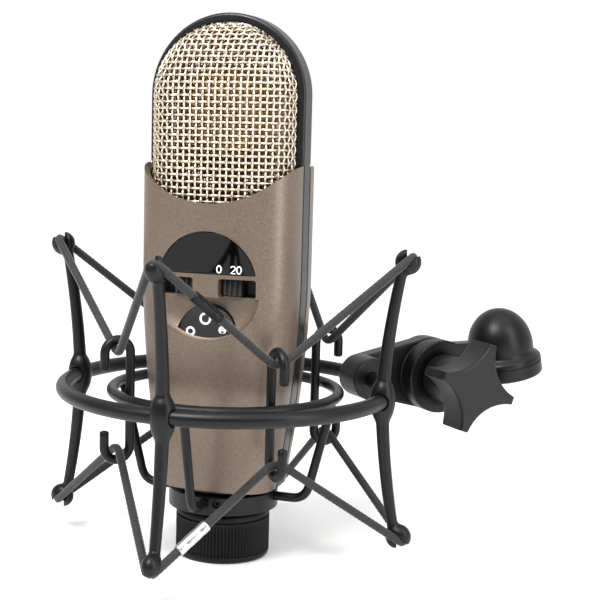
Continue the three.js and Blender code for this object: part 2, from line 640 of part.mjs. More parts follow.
// ---------------------------------------------------------------- tail and connector
function tail() {
  const baseTop = BASE_DISC_TOP_Z + CLEARANCE;
  const top = baseTop + TAIL_FLANGE_THICKNESS;
  addPiece('tail_tube', turned([[TAIL_BORE, TAIL_BOTTOM_Z], [TAIL_RADIUS, TAIL_BOTTOM_Z],
    [TAIL_RADIUS, baseTop], [TAIL_FLANGE_RADIUS, baseTop], [TAIL_FLANGE_RADIUS, top], [TAIL_BORE, top],
    [TAIL_BORE, TAIL_BOTTOM_Z]]), satinBlack);
  let insert = solid(rod(TAIL_BORE - CLEARANCE, XLR_FACE_Z, XLR_FACE_Z + XLR_LENGTH));
  for (let i = 0; i < 3; i += 1) {
    const angle = Math.PI + QUARTER * i;
    const x = XLR_PIN_CIRCLE * Math.cos(angle);
    const y = XLR_PIN_CIRCLE * Math.sin(angle);
    const hole = rod(XLR_PIN_RADIUS + CLEARANCE, XLR_FACE_Z - 1, XLR_FACE_Z + XLR_LENGTH + 1, 12);
    insert = insert.subtract(solid(hole.translate(x, y, 0)));
    const tip = XLR_FACE_Z - XLR_PIN_LENGTH;
    const pin = turned([[0, tip], [XLR_PIN_RADIUS * 0.5, tip], [XLR_PIN_RADIUS, tip + 1],
      [XLR_PIN_RADIUS, XLR_FACE_Z + XLR_LENGTH + 1.5], [0, XLR_FACE_Z + XLR_LENGTH + 1.5]], 12);
    addPiece(`xlr_pin_${i + 1}`, pin.translate(x, y, 0), brass);
  }
  addPiece('xlr_insert', geometryOf(insert), blackPlastic);
}

function clampNut() {
  const bore = TAIL_RADIUS + CLEARANCE;
  addPiece('clamp_nut', turned([[bore, 0], [NUT_RADIUS - NUT_CHAMFER, 0],
    [NUT_RADIUS - NUT_CHAMFER * 0.3, NUT_CHAMFER * 0.3], [NUT_RADIUS, NUT_CHAMFER],
    [NUT_RADIUS, NUT_HEIGHT], [bore, NUT_HEIGHT], [bore, 0]], 40), blackPlastic);
  const low = NUT_HEIGHT + CLEARANCE;
  addPiece('nut_washer', tubeRing(bore, NUT_RADIUS - 1, low, low + WASHER_THICKNESS), steel);
}

// ---------------------------------------------------------------- cradle
function collar() {
  let ring = solid(tubeRing(TAIL_RADIUS + CLEARANCE, COLLAR_RADIUS, COLLAR_BOTTOM_Z, COLLAR_TOP_Z, 40));
  for (let i = 0; i < 4; i += 1) {
    const hole = rod(LEG_RADIUS + CLEARANCE, COLLAR_RADIUS - LEG_DEPTH_IN_COLLAR - CLEARANCE,
      COLLAR_RADIUS + 5, 8);
    ring = ring.subtract(solid(hole.rotateY(QUARTER).translate(0, 0, LEG_LOW_Z).rotateZ(QUARTER * i)));
  }
  for (let i = 0; i < 2; i += 1) {
    const angle = -QUARTER + GRUB_ANGLE + Math.PI * i;
    const seat = TAIL_RADIUS + GRUB_SEAT;
    const hole = rod(GRUB_RADIUS + CLEARANCE, seat, COLLAR_RADIUS + 5, 8);
    ring = ring.subtract(solid(hole.rotateY(QUARTER).translate(0, 0, LEG_LOW_Z).rotateZ(angle)));
    const grub = rod(GRUB_RADIUS, seat + CLEARANCE, COLLAR_RADIUS - GRUB_SINK, 8);
    addPiece(`grub_screw_${i + 1}`, grub.rotateY(QUARTER).translate(0, 0, LEG_LOW_Z).rotateZ(angle), steel);
  }
  addPiece('collar', geometryOf(ring), satinBlack);
}

// a wire along straight runs joined by round bends, drawn in the (radius, z) plane
function bentWire(runs, radius, steps, azimuth) {
  const path = new THREE.CurvePath();
  for (const curve of runs) path.add(curve);
  return wire(path, radius, steps).rotateZ(azimuth);
}

function line(r0, z0, r1, z1) {
  return new THREE.LineCurve3(new THREE.Vector3(r0, 0, z0), new THREE.Vector3(r1, 0, z1));
}

// a quarter-like bend with its control point where the two runs would meet
function bend(r0, z0, rc, zc, r1, z1) {
  return new THREE.QuadraticBezierCurve3(
    new THREE.Vector3(r0, 0, z0),
    new THREE.Vector3(rc, 0, zc),
    new THREE.Vector3(r1, 0, z1),
  );
}

function cradleLegs() {
  const topZ = INNER_RING_Z - INNER_RING_TUBE - CLEARANCE;
  const topRadius = INNER_RING_RADIUS - LEG_TOP_INSET;
  const slope = (topRadius - LEG_LOW_RADIUS) / (topZ - LEG_LOW_Z);
  const endRadius = COLLAR_RADIUS - LEG_DEPTH_IN_COLLAR;
  for (let i = 0; i < 4; i += 1) {
    const bendTop = LEG_LOW_Z + LEG_BEND;
    const runs = [
      line(topRadius, topZ, LEG_LOW_RADIUS + slope * LEG_BEND, bendTop),
      bend(LEG_LOW_RADIUS + slope * LEG_BEND, bendTop, LEG_LOW_RADIUS, LEG_LOW_Z,
        LEG_LOW_RADIUS - LEG_BEND, LEG_LOW_Z),
      line(LEG_LOW_RADIUS - LEG_BEND, LEG_LOW_Z, endRadius, LEG_LOW_Z),
    ];
    addPiece(`cradle_leg_${i + 1}`, bentWire(runs, LEG_RADIUS, 12, QUARTER * i), satinBlack);
  }
}

class HookCurve extends THREE.Curve {
  getPoint(t) {
    const straight = HOOK_TOP_BEND_Z - HOOK_LOW_BEND_Z;
    const arc = Math.PI * HOOK_BEND;
    const total = 2 * HOOK_FREE_LEG + 2 * arc + straight;
    const outer = HOOK_ROD_RADIUS + 2 * HOOK_BEND;
    const middle = HOOK_ROD_RADIUS + HOOK_BEND;
    let along = t * total;
    if (along < HOOK_FREE_LEG) return new THREE.Vector3(outer, 0, HOOK_TOP_BEND_Z - HOOK_FREE_LEG + along);
    along -= HOOK_FREE_LEG;
    if (along < arc) {
      const angle = along / HOOK_BEND;
      return new THREE.Vector3(middle + HOOK_BEND * Math.cos(angle), 0,
        HOOK_TOP_BEND_Z + HOOK_BEND * Math.sin(angle));
    }
    along -= arc;
    if (along < straight) return new THREE.Vector3(HOOK_ROD_RADIUS, 0, HOOK_TOP_BEND_Z - along);
    along -= straight;
    if (along < arc) {
      const angle = Math.PI + along / HOOK_BEND;
      return new THREE.Vector3(middle + HOOK_BEND * Math.cos(angle), 0,
        HOOK_LOW_BEND_Z + HOOK_BEND * Math.sin(angle));
    }
    along -= arc;
    return new THREE.Vector3(outer, 0, HOOK_LOW_BEND_Z + along);
  }
}

function hookRods() {
  for (let i = 0; i < 4; i += 1) {
    const azimuth = -EIGHTH + QUARTER * i;
    addPiece(`hook_rod_${i + 1}`, wire(new HookCurve(), HOOK_WIRE, 24).rotateZ(azimuth), satinBlack);
  }
}

function innerRing() {
  addPiece('inner_ring', torus(INNER_RING_RADIUS, INNER_RING_TUBE, INNER_RING_Z), satinBlack);
}

// ---------------------------------------------------------------- outer frame
function armRadius(z) {
  const half = (ARM_TOP_Z - ARM_LOW_Z) / 2;
  const away = Math.min(1, Math.abs(z - OUTER_RING_Z) / half);
  return OUTER_RING_RADIUS + (ARM_BALL_RADIUS - OUTER_RING_RADIUS) * away ** ARM_BOW_POWER;
}

// a tapered arm: a turned spindle whose axis is then bowed outwards
function armGeometry() {
  const half = (ARM_TOP_Z - ARM_LOW_Z) / 2;
  const stations = 4;
  const profile = [[0, ARM_LOW_Z]];
  for (let i = -stations; i <= stations; i += 1) {
    const away = Math.abs(i) / stations;
    const z = (ARM_TOP_Z + ARM_LOW_Z) / 2 + (i / stations) * half;
    profile.push([ARM_ROOT_WIRE + (ARM_TIP_WIRE - ARM_ROOT_WIRE) * away, z]);
  }
  profile.push([0, ARM_TOP_Z]);
  const geometry = turned(profile, 6);
  const position = geometry.attributes.position;
  for (let i = 0; i < position.count; i += 1) {
    position.setX(i, position.getX(i) + armRadius(position.getZ(i)));
  }
  return geometry;
}

// the round end that lies across the arm's tip, grooved for the elastic
function ballGeometry(z) {
  const half = BALL_LENGTH / 2;
  const ball = new THREE.SphereGeometry(BALL_RADIUS, 8, 6).scale(half / BALL_RADIUS, 1, 1);
  return ball.translate(ARM_BALL_RADIUS, 0, z);
}

function elasticSeatRadius() {
  return ARM_BALL_RADIUS + BALL_LENGTH / 2 - ELASTIC_RADIUS - 0.4;
}

// the groove opens outwards and follows the cord down to the hooks on both sides
function ballGroove(z, anchors) {
  const gap = ELASTIC_RADIUS + CLEARANCE;
  const seat = elasticSeatRadius();
  const turnBack = new THREE.Matrix4().makeRotationZ(QUARTER);
  const corners = anchors.map((_, index) => cordCorner(anchors, index).applyMatrix4(turnBack));
  const inwards = anchors[0].clone().applyMatrix4(turnBack).sub(corners[0]).setLength(ELASTIC_RADIUS / 2);
  const hollow = new THREE.SphereGeometry(gap + 5 * CLEARANCE, 8, 6);
  hollow.translate(seat + inwards.x, inwards.y, z + inwards.z);
  let groove = solid(box(seat - gap, seat + 10, -10, 10, z - gap, z + gap)).add(solid(hollow));
  for (const neighbour of [corners[1], corners[corners.length - 1]]) {
    const direction = neighbour.clone().sub(corners[0]).normalize();
    const turn = new THREE.Quaternion().setFromUnitVectors(new THREE.Vector3(0, 0, 1), direction);
    const channel = rod(gap + 2.5 * CLEARANCE, 0, 16, 6).applyQuaternion(turn);
    groove = groove.add(solid(channel.translate(corners[0].x, corners[0].y, corners[0].z)));
  }
  return groove;
}

// the biggest body of a cut solid, without the crumbs that cuts can leave beside it
function mainBody(manifold) {
  const bodies = manifold.decompose();
  bodies.sort((a, b) => b.volume() - a.volume());
  return bodies[0];
}

function spiderArms() {
  const tunnelRadius = OUTER_RING_TUBE + 1.5 * CLEARANCE;
  const ringTunnel = solid(rodY(tunnelRadius, -BOSS_LENGTH, BOSS_LENGTH, OUTER_RING_RADIUS, OUTER_RING_Z, 8));
  const boss = new THREE.SphereGeometry(BOSS_RADIUS, 8, 6).scale(1, 1, BOSS_LENGTH / (2 * BOSS_RADIUS));
  boss.translate(OUTER_RING_RADIUS, 0, OUTER_RING_Z);
  const arm = solid(armGeometry())
    .add(solid(boss))
    .add(solid(ballGeometry(ARM_TOP_Z)))
    .add(solid(ballGeometry(ARM_LOW_Z)))
    .subtract(ballGroove(ARM_TOP_Z, upperAnchors()))
    .subtract(ballGroove(ARM_LOW_Z, lowerAnchors()))
    .subtract(ringTunnel);
  for (let i = 0; i < 4; i += 1) {
    addPiece(`spider_arm_${i + 1}`, geometryOf(mainBody(arm)).rotateZ(QUARTER * i), satinBlack);
  }
}

function outerRing() {
  addPiece('outer_ring', torus(OUTER_RING_RADIUS, OUTER_RING_TUBE, OUTER_RING_Z), satinBlack);
}

// ---------------------------------------------------------------- elastics
// the middle of the cord at an arm's ball or at a hook, by azimuth
function cordPoint(radius, azimuth, z) {
  return new THREE.Vector3(radius * Math.cos(azimuth), radius * Math.sin(azimuth), z);
}

function elasticAnchors(ballZ, hookZ) {
  const anchors = [];
  for (let i = 0; i < 4; i += 1) {
    anchors.push(cordPoint(elasticSeatRadius(), -QUARTER + QUARTER * i, ballZ));
    anchors.push(cordPoint(HOOK_ROD_RADIUS + HOOK_BEND, -EIGHTH + QUARTER * i, hookZ));
  }
  return anchors;
}

// where the straight runs on both sides of an anchor would meet, so that the bend between them
// passes through the anchor itself
function cordCorner(anchors, index) {
  const count = anchors.length;
  const anchor = anchors[index];
  const back = anchors[(index + count - 1) % count].clone().sub(anchor).normalize();
  const onward = anchors[(index + 1) % count].clone().sub(anchor).normalize();
  return anchor.clone().addScaledVector(back.add(onward), -ELASTIC_BEND / 4);
}

function ferruleCentre(anchors, ferruleShare) {
  return cordCorner(anchors, 0).lerp(cordCorner(anchors, 1), ferruleShare);
}

// Straight runs with a short bend through each anchor. The loop is open where the ferrule crimps it.
function elasticCurve(anchors, ferruleShare) {
  const corners = anchors.map((_, index) => cordCorner(anchors, index));
  const start = ferruleCentre(anchors, ferruleShare);
  const path = new THREE.CurvePath();
  const along = corners[1].clone().sub(corners[0]).setLength(CLEARANCE / 2);
  let from = start.clone().add(along);
  for (let i = 1; i <= corners.length; i += 1) {
    const corner = corners[i % corners.length];
    const back = corners[i - 1].clone().sub(corner).setLength(ELASTIC_BEND);
    const onward = corners[(i + 1) % corners.length].clone().sub(corner).setLength(ELASTIC_BEND);
    const before = corner.clone().add(back);
    const after = corner.clone().add(onward);
    path.add(new THREE.LineCurve3(from, before));
    path.add(new THREE.QuadraticBezierCurve3(before, corner, after));
    from = after;
  }
  path.add(new THREE.LineCurve3(from, start.clone().sub(along)));
  return path;
}

function hookSeat() {
  return HOOK_BEND - HOOK_WIRE - ELASTIC_RADIUS - HOOK_AIR;
}

function upperAnchors() {
  return elasticAnchors(ARM_TOP_Z, HOOK_TOP_BEND_Z + hookSeat());
}

function lowerAnchors() {
  return elasticAnchors(ARM_LOW_Z, HOOK_LOW_BEND_Z - hookSeat());
}

function ferrule(name, anchors, ferruleShare) {
  const centre = ferruleCentre(anchors, ferruleShare);
  const direction = cordCorner(anchors, 1).sub(cordCorner(anchors, 0)).normalize();
  const bore = ELASTIC_RADIUS + 1.5 * CLEARANCE;
  const half = FERRULE_LENGTH / 2;
  const sleeve = tubeRing(bore, bore + FERRULE_WALL, -half, half, 20);
  const turn = new THREE.Quaternion().setFromUnitVectors(new THREE.Vector3(0, 0, 1), direction);
  sleeve.applyQuaternion(turn).translate(centre.x, centre.y, centre.z);
  addPiece(name, sleeve, steel);
}

function elastics() {
  const steps = 56;
  const upper = elasticCurve(upperAnchors(), UPPER_FERRULE_SHARE);
  const lower = elasticCurve(lowerAnchors(), LOWER_FERRULE_SHARE);
  addPiece('elastic_upper', wire(upper, ELASTIC_RADIUS, steps), rubberCord);
  addPiece('elastic_lower', wire(lower, ELASTIC_RADIUS, steps), rubberCord);
  ferrule('ferrule_upper', upperAnchors(), UPPER_FERRULE_SHARE);
  ferrule('ferrule_lower', lowerAnchors(), LOWER_FERRULE_SHARE);
}

// ---------------------------------------------------------------- swivel and stand adapter
// Drawn in a local frame: X away from the microphone, Y along the swivel axis, Z up. Its origin is
// on the swivel axis. The outside of the mount, where the knob is, is at negative Y.
function placeOutboard(geometry) {
  geometry.translate(SWIVEL_RADIUS, 0, SWIVEL_Z);
  return geometry.rotateZ((SWIVEL_AZIMUTH * Math.PI) / 180);
}

// a cylinder along the swivel axis between two stations counted towards the knob
function onAxis(radius, from, to, segments = 28) {
  return rodY(radius, -to, -from, 0, 0, segments);
}

function swivelArm() {
  const ringX = OUTER_RING_RADIUS - SWIVEL_RADIUS;
  const ringZ = OUTER_RING_Z - SWIVEL_Z;
  const half = RING_CLAMP_LENGTH / 2;
  const clampBody = solid(rodY(RING_CLAMP_RADIUS, -half, half, ringX, ringZ, 24));
  const disc = solid(onAxis(CLUTCH_RADIUS, ARM_DISC_BACK, ARM_DISC_FRONT));
  const web = new THREE.Shape();
  web.moveTo(ringX, ringZ - RING_CLAMP_RADIUS + 0.6);
  web.lineTo(-2, -CLUTCH_RADIUS + 0.2);
  web.lineTo(-2, CLUTCH_RADIUS - 0.2);
  web.lineTo(ringX, ringZ + RING_CLAMP_RADIUS - 0.6);
  web.closePath();
  const arm = solid(plateY(web, -ARM_DISC_FRONT, -ARM_DISC_FRONT + WEB_THICKNESS));
  const ring = torus(OUTER_RING_RADIUS, OUTER_RING_TUBE + CLEARANCE, OUTER_RING_Z);
  ring.rotateZ((-SWIVEL_AZIMUTH * Math.PI) / 180).translate(-SWIVEL_RADIUS, 0, -SWIVEL_Z);
  const boltHole = solid(onAxis(BOLT_RADIUS + CLEARANCE, ARM_DISC_BACK - 1, ARM_DISC_FRONT + 1, 16));
  const headFrom = ARM_DISC_BACK - 1;
  const headTo = ARM_DISC_BACK + BOLT_HEAD_THICKNESS + CLEARANCE;
  const headPocket = solid(onAxis(BOLT_HEAD_RADIUS + CLEARANCE, headFrom, headTo, 6));
  const screwHole = solid(rod(CLAMP_SCREW_RADIUS + CLEARANCE, -20, 0, 12).translate(ringX, 0, ringZ));
  const piece = clampBody.add(arm).add(disc).subtract(solid(ring)).subtract(boltHole)
    .subtract(headPocket).subtract(screwHole);
  addPiece('swivel_arm', placeOutboard(geometryOf(piece)), satinBlack);
  const screwTop = ringZ - OUTER_RING_TUBE - 2 * CLEARANCE;
  const screw = rod(CLAMP_SCREW_RADIUS, screwTop - CLAMP_SCREW_LENGTH, screwTop, 12).translate(ringX, 0, 0);
  addPiece('ring_clamp_screw', placeOutboard(screw), steel);
}

function clutchBolt() {
  const head = solid(onAxis(BOLT_HEAD_RADIUS, ARM_DISC_BACK + 0.2, ARM_DISC_BACK + BOLT_HEAD_THICKNESS, 6));
  const shank = solid(onAxis(BOLT_RADIUS, ARM_DISC_BACK + 1, LUG_FRONT + KNOB_BORE_DEPTH - 1, 16));
  addPiece('clutch_bolt', placeOutboard(geometryOf(head.add(shank))), steel);
}

function frictionWasher() {
  const from = ARM_DISC_FRONT + CLEARANCE;
  const to = from + FRICTION_THICKNESS;
  const disc = solid(onAxis(CLUTCH_RADIUS - 0.4, from, to));
  const hole = solid(onAxis(BOLT_RADIUS + CLEARANCE, from - 1, to + 1, 16));
  addPiece('friction_washer', placeOutboard(geometryOf(disc.subtract(hole))), rubberCord);
}

// puts a piece drawn upright about Z, foot at z = 0, where the tilted stand thread is
function placeThread(geometry) {
  geometry.rotateY((-ADAPTER_TILT * Math.PI) / 180);
  return geometry.translate(ADAPTER_REACH, -LUG_MIDDLE, -ADAPTER_DROP);
}

function domeProfile() {
  const flangeTop = FLANGE_HEIGHT;
  const straight = DOME_HEIGHT * DOME_STRAIGHT_SHARE;
  const profile = [[0, 0], [FLANGE_RADIUS - 0.6, 0], [FLANGE_RADIUS, 0.8], [FLANGE_RADIUS, flangeTop - 1.4],
    [DOME_RADIUS + 0.4, flangeTop]];
  const steps = 5;
  for (let i = 0; i < steps; i += 1) {
    const angle = (QUARTER * i) / steps;
    profile.push([(DOME_RADIUS - 0.4) * Math.cos(angle),
      flangeTop + straight + (DOME_HEIGHT - straight) * Math.sin(angle)]);
  }
  profile.push([0, flangeTop + DOME_HEIGHT]);
  return profile;
}

function standAdapter() {
  const lug = solid(onAxis(CLUTCH_RADIUS, LUG_BACK, LUG_FRONT));
  const dome = solid(placeThread(turned(domeProfile(), 28)));
  const neckTo = ADAPTER_REACH - INSERT_RADIUS - 2 * CLEARANCE - 1;
  const neck = solid(box(2, neckTo, -LUG_FRONT, -LUG_BACK, NECK_LOW, NECK_HIGH));
  const hole = solid(onAxis(BOLT_RADIUS + CLEARANCE, LUG_BACK - 1, LUG_FRONT + 1, 16));
  const seat = rod(INSERT_RADIUS + CLEARANCE, -2, INSERT_LENGTH + 2 * CLEARANCE, 24);
  const piece = lug.add(neck).add(dome).subtract(hole).subtract(solid(placeThread(seat)));
  addPiece('stand_adapter', placeOutboard(geometryOf(piece)), satinBlack);
  const insert = tubeRing(THREAD_RADIUS, INSERT_RADIUS, CLEARANCE, INSERT_LENGTH, 24);
  addPiece('thread_insert', placeOutboard(placeThread(insert)), brass);
}

// four blunt tips joined by hollow arcs
function knobShape() {
  const shape = new THREE.Shape();
  const sides = 4;
  const stepsPerSide = 10;
  const halfSide = Math.PI / sides - KNOB_TIP_HALF_ANGLE;
  const cornerDepth = KNOB_TIP_RADIUS * Math.cos(halfSide);
  const arcCentre = (KNOB_TIP_RADIUS ** 2 - KNOB_WAIST_RADIUS ** 2) / (2 * (cornerDepth - KNOB_WAIST_RADIUS));
  const arcRadius = arcCentre - KNOB_WAIST_RADIUS;
  for (let side = 0; side < sides; side += 1) {
    const middle = ((side + 0.5) * 2 * Math.PI) / sides;
    for (let i = 0; i <= stepsPerSide; i += 1) {
      const away = halfSide * ((2 * i) / stepsPerSide - 1);
      const reach = arcCentre * Math.cos(away) - Math.sqrt(arcRadius ** 2 - (arcCentre * Math.sin(away)) ** 2);
      const x = reach * Math.cos(middle + away);
      const y = reach * Math.sin(middle + away);
      if (side === 0 && i === 0) shape.moveTo(x, y);
      else shape.lineTo(x, y);
    }
  }
  shape.closePath();
  return shape;
}

function starKnob() {
  const lobes = plateY(knobShape(), -KNOB_FRONT, -KNOB_BACK);
  lobes.rotateY((-KNOB_TURN * Math.PI) / 180);
  const hubBack = LUG_FRONT + CLEARANCE;
  const hub = solid(onAxis(HUB_RADIUS, hubBack, KNOB_BACK + 2));
  const bore = solid(onAxis(BOLT_RADIUS + CLEARANCE, hubBack - 1, hubBack + KNOB_BORE_DEPTH, 16));
  addPiece('star_knob', placeOutboard(geometryOf(solid(lobes).add(hub).subtract(bore))), satinBlack);
}

// ---------------------------------------------------------------- assembly
centreFrame();
frontShell();
rearShell();
shellScrews();
upperWindow();
slider('pad_slider', 1);
slider('hpf_slider', -1);
switchBody('pad_switch', 1);
switchBody('hpf_switch', -1);
patternDial();
for (const [side, word] of [[-1, 'front'], [1, 'rear']]) {
  grille(`${word}_grille`, side, 0, GRILLE_TUCK, nickelWire);
  grille(`${word}_inner_mesh`, side, INNER_MESH_GAP, GRILLE_TUCK - 1, nickelWire);
}
capsule();
circuitBoard();
tail();
clampNut();
collar();
cradleLegs();
hookRods();
innerRing();
outerRing();
spiderArms();
elastics();
swivelArm();
clutchBolt();
frictionWasher();
standAdapter();
starKnob();

// the origin is the middle of the object's foot print, on the surface it stands on
const reach = new THREE.Box3().setFromObject(model);
model.position.set(-(reach.min.x + reach.max.x) / 2, -(reach.min.y + reach.max.y) / 2, -reach.min.z);

const part = new THREE.Group();
part.add(model);

export default part;
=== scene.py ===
# %% [markdown]
# # A condenser microphone in a spider mount
# The microphone hangs in a cradle of bent wires. Two elastic loops tie the cradle to an outer
# ring, and a swivel with a star knob joins that ring to a stand. The plain working model gives
# every place and size. This file gives each piece its fine surface and its finish.

# %% Load the working model
import bmesh
import bpy
import json
import math
from mathutils import Matrix, Vector


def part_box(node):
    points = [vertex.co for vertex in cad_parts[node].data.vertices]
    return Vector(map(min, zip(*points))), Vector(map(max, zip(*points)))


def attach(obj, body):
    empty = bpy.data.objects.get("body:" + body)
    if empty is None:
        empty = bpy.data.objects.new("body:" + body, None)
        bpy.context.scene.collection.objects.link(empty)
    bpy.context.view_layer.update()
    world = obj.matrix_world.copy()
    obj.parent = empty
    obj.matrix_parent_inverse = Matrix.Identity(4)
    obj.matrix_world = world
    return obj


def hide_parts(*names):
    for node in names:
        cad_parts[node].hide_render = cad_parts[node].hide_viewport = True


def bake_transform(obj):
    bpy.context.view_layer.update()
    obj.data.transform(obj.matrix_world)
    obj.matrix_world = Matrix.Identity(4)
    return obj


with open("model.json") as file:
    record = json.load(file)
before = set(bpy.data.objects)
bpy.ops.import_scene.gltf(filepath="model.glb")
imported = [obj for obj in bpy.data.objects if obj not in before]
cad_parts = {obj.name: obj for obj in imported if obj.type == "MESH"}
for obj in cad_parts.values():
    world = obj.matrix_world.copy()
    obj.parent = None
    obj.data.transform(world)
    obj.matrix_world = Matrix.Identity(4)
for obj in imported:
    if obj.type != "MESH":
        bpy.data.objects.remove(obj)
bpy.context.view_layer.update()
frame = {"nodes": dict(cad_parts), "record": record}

# %% [markdown]
# ## Sizes
# All shapes are drawn in millimetres round the microphone's own axis, which runs up through
# the clamp nut. One function moves a finished shape to its place in metres, so no other line
# has to know where that axis stands.

# %% The microphone's axis and the way into metres
MM = 0.001
nut_low, nut_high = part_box("clamp_nut")
AXIS = Vector(((nut_low[0] + nut_high[0]) / 2, (nut_low[1] + nut_high[1]) / 2, 0))
print("axis of the microphone, mm:", [round(v / MM, 2) for v in AXIS])


def in_metres(point):
    return Vector(point) * MM + AXIS


# %% Driving sizes in millimetres
GAP = 0.35
BODY_W, BODY_D = 28.5, 22.0
BODY_LOW, BODY_TAPER_FROM, BODY_TAPER_TALL = 26.5, 100.0, 76.0
FOOT_W, FOOT_D = 20.9, 17.5
TAPER_POWER, SECTION_POWER = 1.69, 3.4
WALL = 1.8
RIM_RADIUS, RIM_LOW, HEAD_Z = 37.6, 127.3, 163.8
SPINE_T, ARCH_T, ARCH_WALL = 3.9, 4.6, 3.0
GRILLE_W, GRILLE_D = BODY_W - WALL - 0.5, BODY_D - WALL - 0.5
CAPSULE_Z, CAPSULE_R = 158.0, 16.5
DISH_Z, DISH_R, DISH_DEPTH, DISH_TALL, DISH_DROP = 100.0, 20.0, 5.5, 17.0, 3.0
WINDOW_R, WINDOW_CHORD, WINDOW_T = 18.0, 103.4, 1.2
SLOT_IN, SLOT_OUT, SLOT_LOW, SLOT_HIGH = 4.6, 17.8, 95.6, 102.0
SLIDER_W, SLIDER_H, SLIDER_FACE, SLIDER_T = 7.6, 5.4, -19.4, 4.4
DIAL_R, DIAL_Z, DIAL_FACE, DIAL_T = 10.8, 81.6, -19.6, 3.2
BLOCK_DEPTH = 7.8
TAIL_R, NUT_R, NUT_H = 13.0, 16.9, 16.9
COLLAR_R, COLLAR_LOW, COLLAR_HIGH = 19.7, 18.4, 24.6
LEG_R, LEG_LOW_R, LEG_Z, LEG_BEND = 1.6, 31.0, 22.74, 5.0
RING_IN_R, RING_IN_TUBE, RING_IN_Z = 40.5, 2.0, 59.6
HOOK_WIRE, HOOK_BEND, HOOK_TOP, HOOK_LOW, HOOK_FREE = 1.65, 4.7, 75.0, 42.1, 5.2
HOOK_ROD = RING_IN_R - RING_IN_TUBE - HOOK_WIRE - GAP
RING_OUT_R, RING_OUT_TUBE, RING_OUT_Z = 57.8, 2.7, 60.8
BALL_AT, ARM_TOP, ARM_LOW, BOW_POWER = 64.0, 110.9, 11.5, 1.7
BALL_R, BALL_LENGTH, BALL_DEPTH, BALL_OUT, BALL_BACK = 3.5, 9.0, 4.6, 1.0, 1.8
CORD_R, CORD_BEND, HOOK_AIR = 1.5, 5.0, 1.0
SWIVEL_AT, SWIVEL_Z = 88.0, 60.0
ADAPTER_REACH, ADAPTER_DROP, ADAPTER_TILT = 31.0, 1.2, 11.0
LUG_BACK, LUG_FRONT = -0.3, 6.2

# %% [markdown]
# ## Making meshes
# Most pieces are one of three things: a wire swept along a path, a profile turned round an
# axis, or rings of points joined into a skin. Each maker below returns a `bmesh` in
# millimetres. Straight mesh code is used in place of curve objects, because the thickness,
# the knurls and the braid can then be any function of the place.


# %% Joining rings of points into a skin
def loft(rings, closed=False, cap=True):
    bm = bmesh.new()
    rows = [[bm.verts.new(p) for p in ring] for ring in rings]
    count = len(rows)
    for i in range(count if closed else count - 1):
        low, high = rows[i], rows[(i + 1) % count]
        for j in range(len(low)):
            k = (j + 1) % len(low)
            bm.faces.new((low[j], low[k], high[k], high[j]))
    if cap and not closed:
        bm.faces.new(list(reversed(rows[0])))
        bm.faces.new(rows[-1])
    bmesh.ops.recalc_face_normals(bm, faces=bm.faces)
    return bm


# %% Turning a profile of (radius, height) about Z
def turned(profile, segments=96, shape=None):
    """A closed profile makes a ring; a profile that starts and ends at radius 0 is solid."""
    solid = profile[0][0] == 0
    points = profile[1:-1] if solid else profile
    rings = []
    for radius, z in points:
        ring = []
        for j in range(segments):
            angle = 2 * math.pi * j / segments
            reach = radius + (shape(angle, radius, z) if shape else 0)
            ring.append((reach * math.cos(angle), reach * math.sin(angle), z))
        rings.append(ring)
    return loft(rings, closed=not solid, cap=solid)


# %% Sweeping a round section along a path
def frames_along(path, closed=False):
    """The direction and two side vectors at each point, without twist."""
    count = len(path)
    frames = []
    side = None
    for i, point in enumerate(path):
        if closed:
            ahead = path[(i + 1) % count] - path[i - 1]
        else:
            ahead = path[min(i + 1, count - 1)] - path[max(i - 1, 0)]
        ahead.normalize()
        if side is None:
            pick = Vector((0, 0, 1)) if abs(ahead.z) < 0.9 else Vector((1, 0, 0))
            side = pick.cross(ahead)
        side = (side - ahead * side.dot(ahead)).normalized()
        frames.append((point, ahead, side, ahead.cross(side)))
    return frames


def swept(path, radius, sides=16, closed=False, rounded=True):
    """radius is a number, or a function of (share of the way, angle)."""
    path = [Vector(p) for p in path]
    frames = frames_along(path, closed)
    rings = []
    last = len(path) - 1
    for i, (point, ahead, side, up) in enumerate(frames):
        ring = []
        for j in range(sides):
            angle = 2 * math.pi * j / sides
            reach = radius(i / last, angle) if callable(radius) else radius
            ring.append(point + (side * math.cos(angle) + up * math.sin(angle)) * reach)
        rings.append(ring)
    if rounded and not closed:
        start, end = rings[0], rings[-1]
        rings = round_end(start, frames[0], -1)[::-1] + rings + round_end(end, frames[-1], 1)
    return loft(rings, closed=closed)


def round_end(ring, at, way):
    """Extra rings that close a wire's cut end with a soft edge."""
    point, ahead = at[0], at[1]
    reach = (ring[0] - point).length
    extra = []
    for share in (0.35, 0.7, 0.95):
        bulge = ahead * (way * reach * 0.45 * math.sin(share * math.pi / 2))
        shrink = math.cos(share * math.pi / 2)
        extra.append([point + (p - point) * shrink + bulge for p in ring])
    return extra


# %% Paths: straight runs joined by bends
def bend_points(before, corner, after, steps=10):
    before, corner, after = Vector(before), Vector(corner), Vector(after)
    points = []
    for i in range(steps + 1):
        t = i / steps
        points.append(before * (1 - t) ** 2 + corner * 2 * t * (1 - t) + after * t * t)
    return points


def straight_points(start, end, step):
    start, end = Vector(start), Vector(end)
    count = max(1, round((end - start).length / step))
    return [start.lerp(end, i / count) for i in range(count + 1)]


def without_repeats(path):
    kept = [path[0]]
    for point in path[1:]:
        if (point - kept[-1]).length > 1e-4:
            kept.append(point)
    return kept


# %% Moving, joining and cutting
def moved(bm, matrix):
    bmesh.ops.transform(bm, matrix=matrix, verts=bm.verts)
    return bm


def turned_about(bm, degrees, axis):
    return moved(bm, Matrix.Rotation(math.radians(degrees), 4, axis))


